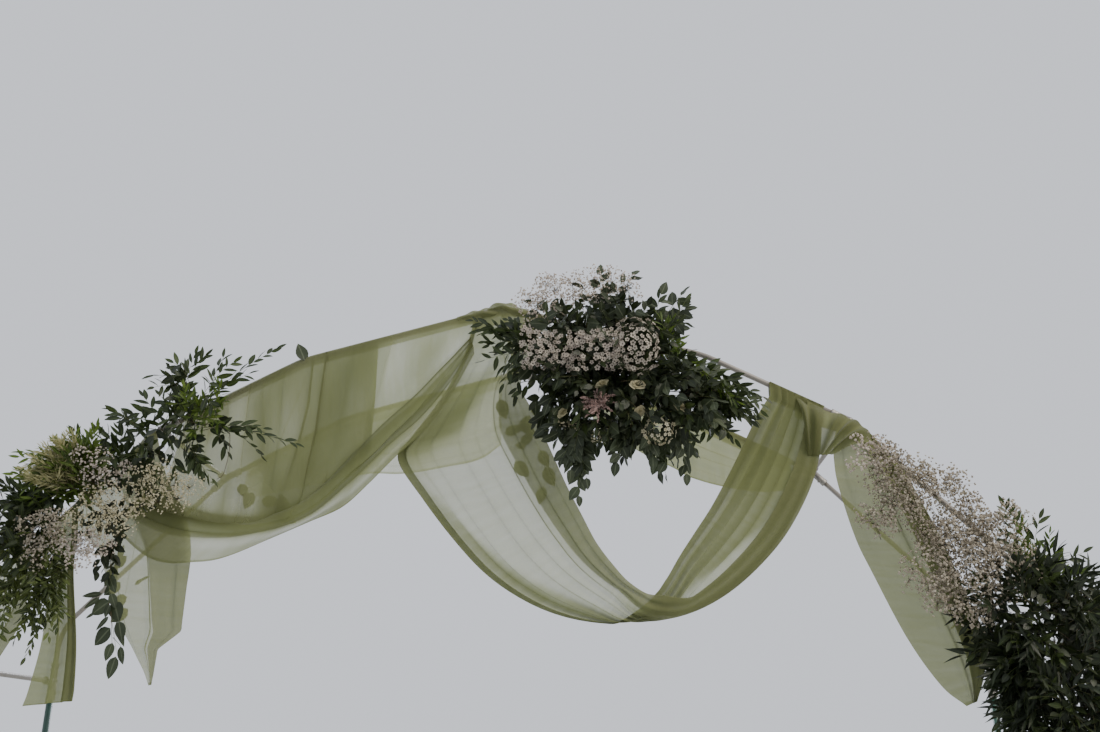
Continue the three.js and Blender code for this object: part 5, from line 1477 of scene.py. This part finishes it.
def buildFocal():
    # wax flowers on a dome and over a band that bulges with the distance in from its outline, a
    # pale head, roses, and plumes of fluff along arcs
    at, facing = dome(focal["dome"])
    parts = [starsOn(at, facing, focal["dome"]["size"], random.uniform(0, 0.5, len(at)))]
    band = focal["band"]
    flat = spreadInside(band["outline"], band["flowers"], -0.002)
    bulge = band["bulge"] * np.sqrt(np.clip(distanceInside(flat, band["outline"]) / 0.07, 0, 1))
    at = atDepth(flat, band["y"] - bulge + random.normal(0, 0.007, len(flat)))
    facing = unit(np.array([0, -1, 0.15]) + random.normal(0, 0.45, at.shape))
    parts.append(starsOn(at, facing, band["size"], random.uniform(0.1, 1, len(at))))
    plant("crownWaxFlowers", parts, petalSkins["wax"], "gypsophila")
    at, facing = dome(focal["hydrangea"])
    pale = starsOn(at, facing, focal["hydrangea"]["size"], random.uniform(0, 1, len(at)))
    plant("crownPaleFlowers", [pale], petalSkins["cream"], "gypsophila")
    at, size, facing = (np.array(column, float) for column in zip(*focal["roses"]))
    roses = scatter(roseHead(), at, np.cross(facing, [0.3, 0.2, 1.0]), facing, size, random.uniform(0, 0.6, len(at)))
    plant("crownRoses", [roses], petalSkins["rose"], "gypsophila")
    plume = focal["astilbe"]
    start = np.array(plume["at"]) + random.normal(0, 0.006, (plume["plumes"], 3))
    end = start + unit(random.normal(0, 1, start.shape) + [0.2, -0.5, 0.1]) * np.array(plume["reach"])
    t = np.tile(np.linspace(0.15, 1, plume["florets"]), (len(start), 1))
    at, tangent = arcs(start, end, 0.1, t)
    stray = random.normal(0, 1, at.shape)
    at = at + unit(stray) * 0.006 * (1.2 - t)[..., None]
    fluff = scatter(floret, at.reshape(-1, 3), tangent.reshape(-1, 3), stray.reshape(-1, 3),
                    plume["size"] * random.uniform(0.7, 1.2, t.size), random.random(t.size))
    plant("crownAstilbe", [fluff], petalSkins["astilbe"], "gypsophila", smooth=False)


# a sprig of round eucalyptus leaves that hangs free below the left garland, leaf by leaf
sprig = {
    "y": -0.478,
    "stems": [((-1.277, 1.86), (-1.258, 1.668)), ((-1.262, 1.7), (-1.214, 1.545)),
              ((-1.277, 1.793), (-1.29, 1.728)), ((-1.25, 1.672), (-1.228, 1.545)),
              ((-1.232, 1.59), (-1.2, 1.56))],
    "broad": [((-1.26, 1.706), (-1.318, 1.664)), ((-1.246, 1.62), (-1.293, 1.566)),
              ((-1.247, 1.706), (-1.224, 1.64))],
    "middle": [((-1.226, 1.572), (-1.243, 1.515)), ((-1.201, 1.561), (-1.187, 1.504)),
               ((-1.213, 1.53), (-1.23, 1.46)), ((-1.277, 1.793), (-1.247, 1.733)),
               ((-1.256, 1.694), (-1.266, 1.652)), ((-1.259, 1.731), (-1.238, 1.683)),
               ((-1.215, 1.64), (-1.197, 1.575))],
    "narrow": [((-1.29, 1.731), (-1.358, 1.722)), ((-1.292, 1.718), (-1.34, 1.68)),
               ((-1.299, 1.668), (-1.328, 1.649)), ((-1.255, 1.656), (-1.292, 1.612)),
               ((-1.273, 1.782), (-1.305, 1.773)), ((-1.225, 1.64), (-1.19, 1.56))],
    "widths": {"broad": 0.78, "middle": 0.54, "narrow": 0.28},
}


def buildSprig():
    # each leaf lies from its base to its tip, near the plane y
    batches = []
    for name, width in sprig["widths"].items():
        base, tip = np.array(sprig[name]).transpose(1, 0, 2)
        at = atDepth(base, sprig["y"] + random.normal(0, 0.006, len(base)))
        up = np.array([0, -1, 0]) + random.normal(0, 0.22, at.shape)
        batches.append(scatter(leafBlade(6, width, 0.74, 0.10, 0.06), at, atDepth(tip - base, 0), up,
                               np.linalg.norm(tip - base, axis=-1), random.uniform(0.2, 0.9, len(at))))
    start, end = (atDepth(p, sprig["y"] + 0.002) for p in np.array(sprig["stems"]).transpose(1, 0, 2))
    plant("leftSprigLeaves", batches, kinds["eucalyptus"]["skin"])
    plant("leftSprigStems", [stemTubes(start, end, 0.02, 0.0012, steps=10)], stemSkin)


# single leaves: dark leaves hung behind the sheer cloth, which show through it as painted leaf shadows on the cloth,
# and one real leaf on the tube
loose = {
    "behind": {"y": -0.325, "size": 0.062,
               "at": [(-0.009, 2.431), (0.064, 2.35), (0.12, 2.429), (0.1, 2.37), (0.136, 2.24), (0.15, 2.11),
                      (0.048, 2.2), (0.012, 2.3), (0.11, 2.3), (0.06, 2.27), (0.154, 2.18), (-0.92, 2.13),
                      (-0.87, 2.1), (-0.837, 2.07), (-0.78, 2.03), (-0.751, 2.02), (-1.305, 1.92),
                      (-1.318, 1.84), (-1.249, 1.78), (-1.261, 1.7), (-1.29, 1.88), (-1.27, 1.74),
                      (-1.3, 1.79)]},
    "onTube": {"y": -0.362, "size": 0.072, "at": [(-0.715, 2.575)]},
    # the twigs that hold the leaves of painted shadow hang from the tube
    "twigs": [((-0.01, -0.33, 2.66), (0.1, -0.325, 2.11)), ((-0.72, -0.33, 2.5), (-0.85, -0.325, 2.06)),
              ((-1.24, -0.33, 2.25), (-1.28, -0.325, 1.7))],
    "shoot": {"line": [(-0.935, -0.5, 2.275), (-0.916, -0.495, 2.268), (-0.912, -0.49, 2.2),
                       (-0.925, -0.485, 2.127), (-0.947, -0.482, 2.108)], "radius": (0.0011, 0.0007),
              "bud": (-0.95, -0.482, 2.1), "leaves": 7, "size": 0.02},
}


def buildLooseLeaves():
    # each leaf hangs from its point with a random lean; the twigs rise over their straight lines
    kind = kinds["eucalyptus"]
    # the leaves behind the cloth are dark shapes that show through it as painted leaf shadows
    at = atDepth(loose["behind"]["at"], loose["behind"]["y"])
    along = np.array([0, 0, -1]) + random.normal(0, 0.7, at.shape) * [1, 0.3, 1]
    up = np.array([0, -1, 0]) + random.normal(0, 0.3, at.shape)
    size = loose["behind"]["size"] * random.uniform(0.85, 1.25, len(at))
    behind = scatter(kind["blade"], at, along, up, size, random.random(len(at)))
    twigs = stemTubes(*(np.array(ends) for ends in zip(*loose["twigs"])), 0.05, 0.0012, steps=12)
    at = atDepth(loose["onTube"]["at"], loose["onTube"]["y"])
    single = scatter(kind["blade"], at, np.array([[-0.4, -0.2, 1.0]]), np.array([[0.3, -1, 0.3]]),
                     loose["onTube"]["size"], np.array([0.4]))
    plant("shadowAndLooseLeaves", [behind, single], kind["skin"])
    plant("shadowLeafTwigs", [twigs], stemSkin)
    # a curved shoot with a bud at its end hangs off the left garland
    shoot = loose["shoot"]
    line = spline(shoot["line"], np.linspace(0, 1, 24))
    makePiece("leftShoot", *sweptTube(line, np.linspace(*shoot["radius"], 24), sides=6), stemSkin, "foliage")
    at = np.tile([shoot["bud"]], (shoot["leaves"], 1))
    along = unit(random.normal(0, 1, at.shape) + [-0.5, -0.4, -0.6])
    bud = scatter(kinds["bright"]["blade"], at, along, random.normal(0, 1, at.shape), shoot["size"],
                  random.random(len(at)))
    plant("leftShootBud", [bud], kinds["bright"]["skin"])


for gardenName, garden in gardens.items():
    buildGarden(gardenName, garden)
buildFocal()
buildSprig()
buildLooseLeaves()
print("garlands: leaves and flowers made")


studio = {
    "floor": "#c9c8c4", "floorReach": 24.0, "sky": "#c1c4cb", "skyStrength": 1.6,
    "key": {"at": (3.6, -2.2, 5.2), "aim": (0, -0.3, 2.1), "size": 2.6, "power": 190, "colour": "#fff4e6"},
    "back": {"at": (-1.0, 4.2, 4.6), "aim": (0, 0, 2.1), "size": 3.2, "power": 210, "colour": "#f3f6ff"},
}
camera = {"at": (0.33, -3.95, 1.22), "pitch": 20.2, "yaw": 2.5, "lens": 35.02, "sensor": 36}


def buildStudio():
    # a pale floor, an even overcast sky, and two large soft lamps that look at their aims
    floorPaint, tree = newMaterial("paleFloor")
    shader = addNode(tree, "BsdfPrincipled", {"Base Color": studio["floor"], "Roughness": 0.85})
    addNode(tree, "OutputMaterial", {"Surface": shader})
    far = studio["floorReach"]
    mesh = bpy.data.meshes.new("floor")
    mesh.from_pydata([(-far, -far, 0), (far, -far, 0), (far, far, 0), (-far, far, 0)], [], [(0, 1, 2, 3)])
    mesh.materials.append(floorPaint)
    floor = bpy.data.objects.new("floor", mesh)
    bpy.context.scene.collection.objects.link(floor)
    world = bpy.data.worlds.new("studio")
    world.use_nodes = True
    background = world.node_tree.nodes["Background"].inputs
    background["Color"].default_value = linear(studio["sky"])
    background["Strength"].default_value = studio["skyStrength"]
    bpy.context.scene.world = world
    for name in ("key", "back"):
        light = studio[name]
        lamp = bpy.data.lights.new(name, "AREA")
        lamp.shape, lamp.size, lamp.energy = "DISK", light["size"], light["power"]
        lamp.color = linear(light["colour"])[:3]
        holder = bpy.data.objects.new(name + "Light", lamp)
        holder.location = light["at"]
        holder.rotation_euler = (Vector(light["aim"]) - Vector(light["at"])).to_track_quat("-Z", "Y").to_euler()
        bpy.context.scene.collection.objects.link(holder)


def buildCamera():
    # a 35 mm lens that looks along +Y, turned up by the pitch and left by the yaw
    lens = bpy.data.cameras.new("camera")
    lens.lens, lens.sensor_width, lens.clip_end = camera["lens"], camera["sensor"], 200
    holder = bpy.data.objects.new("camera", lens)
    holder.location = camera["at"]
    holder.rotation_euler = (math.radians(90 + camera["pitch"]), 0, math.radians(camera["yaw"]))
    bpy.context.scene.collection.objects.link(holder)
    bpy.context.scene.camera = holder


buildStudio()
buildCamera()
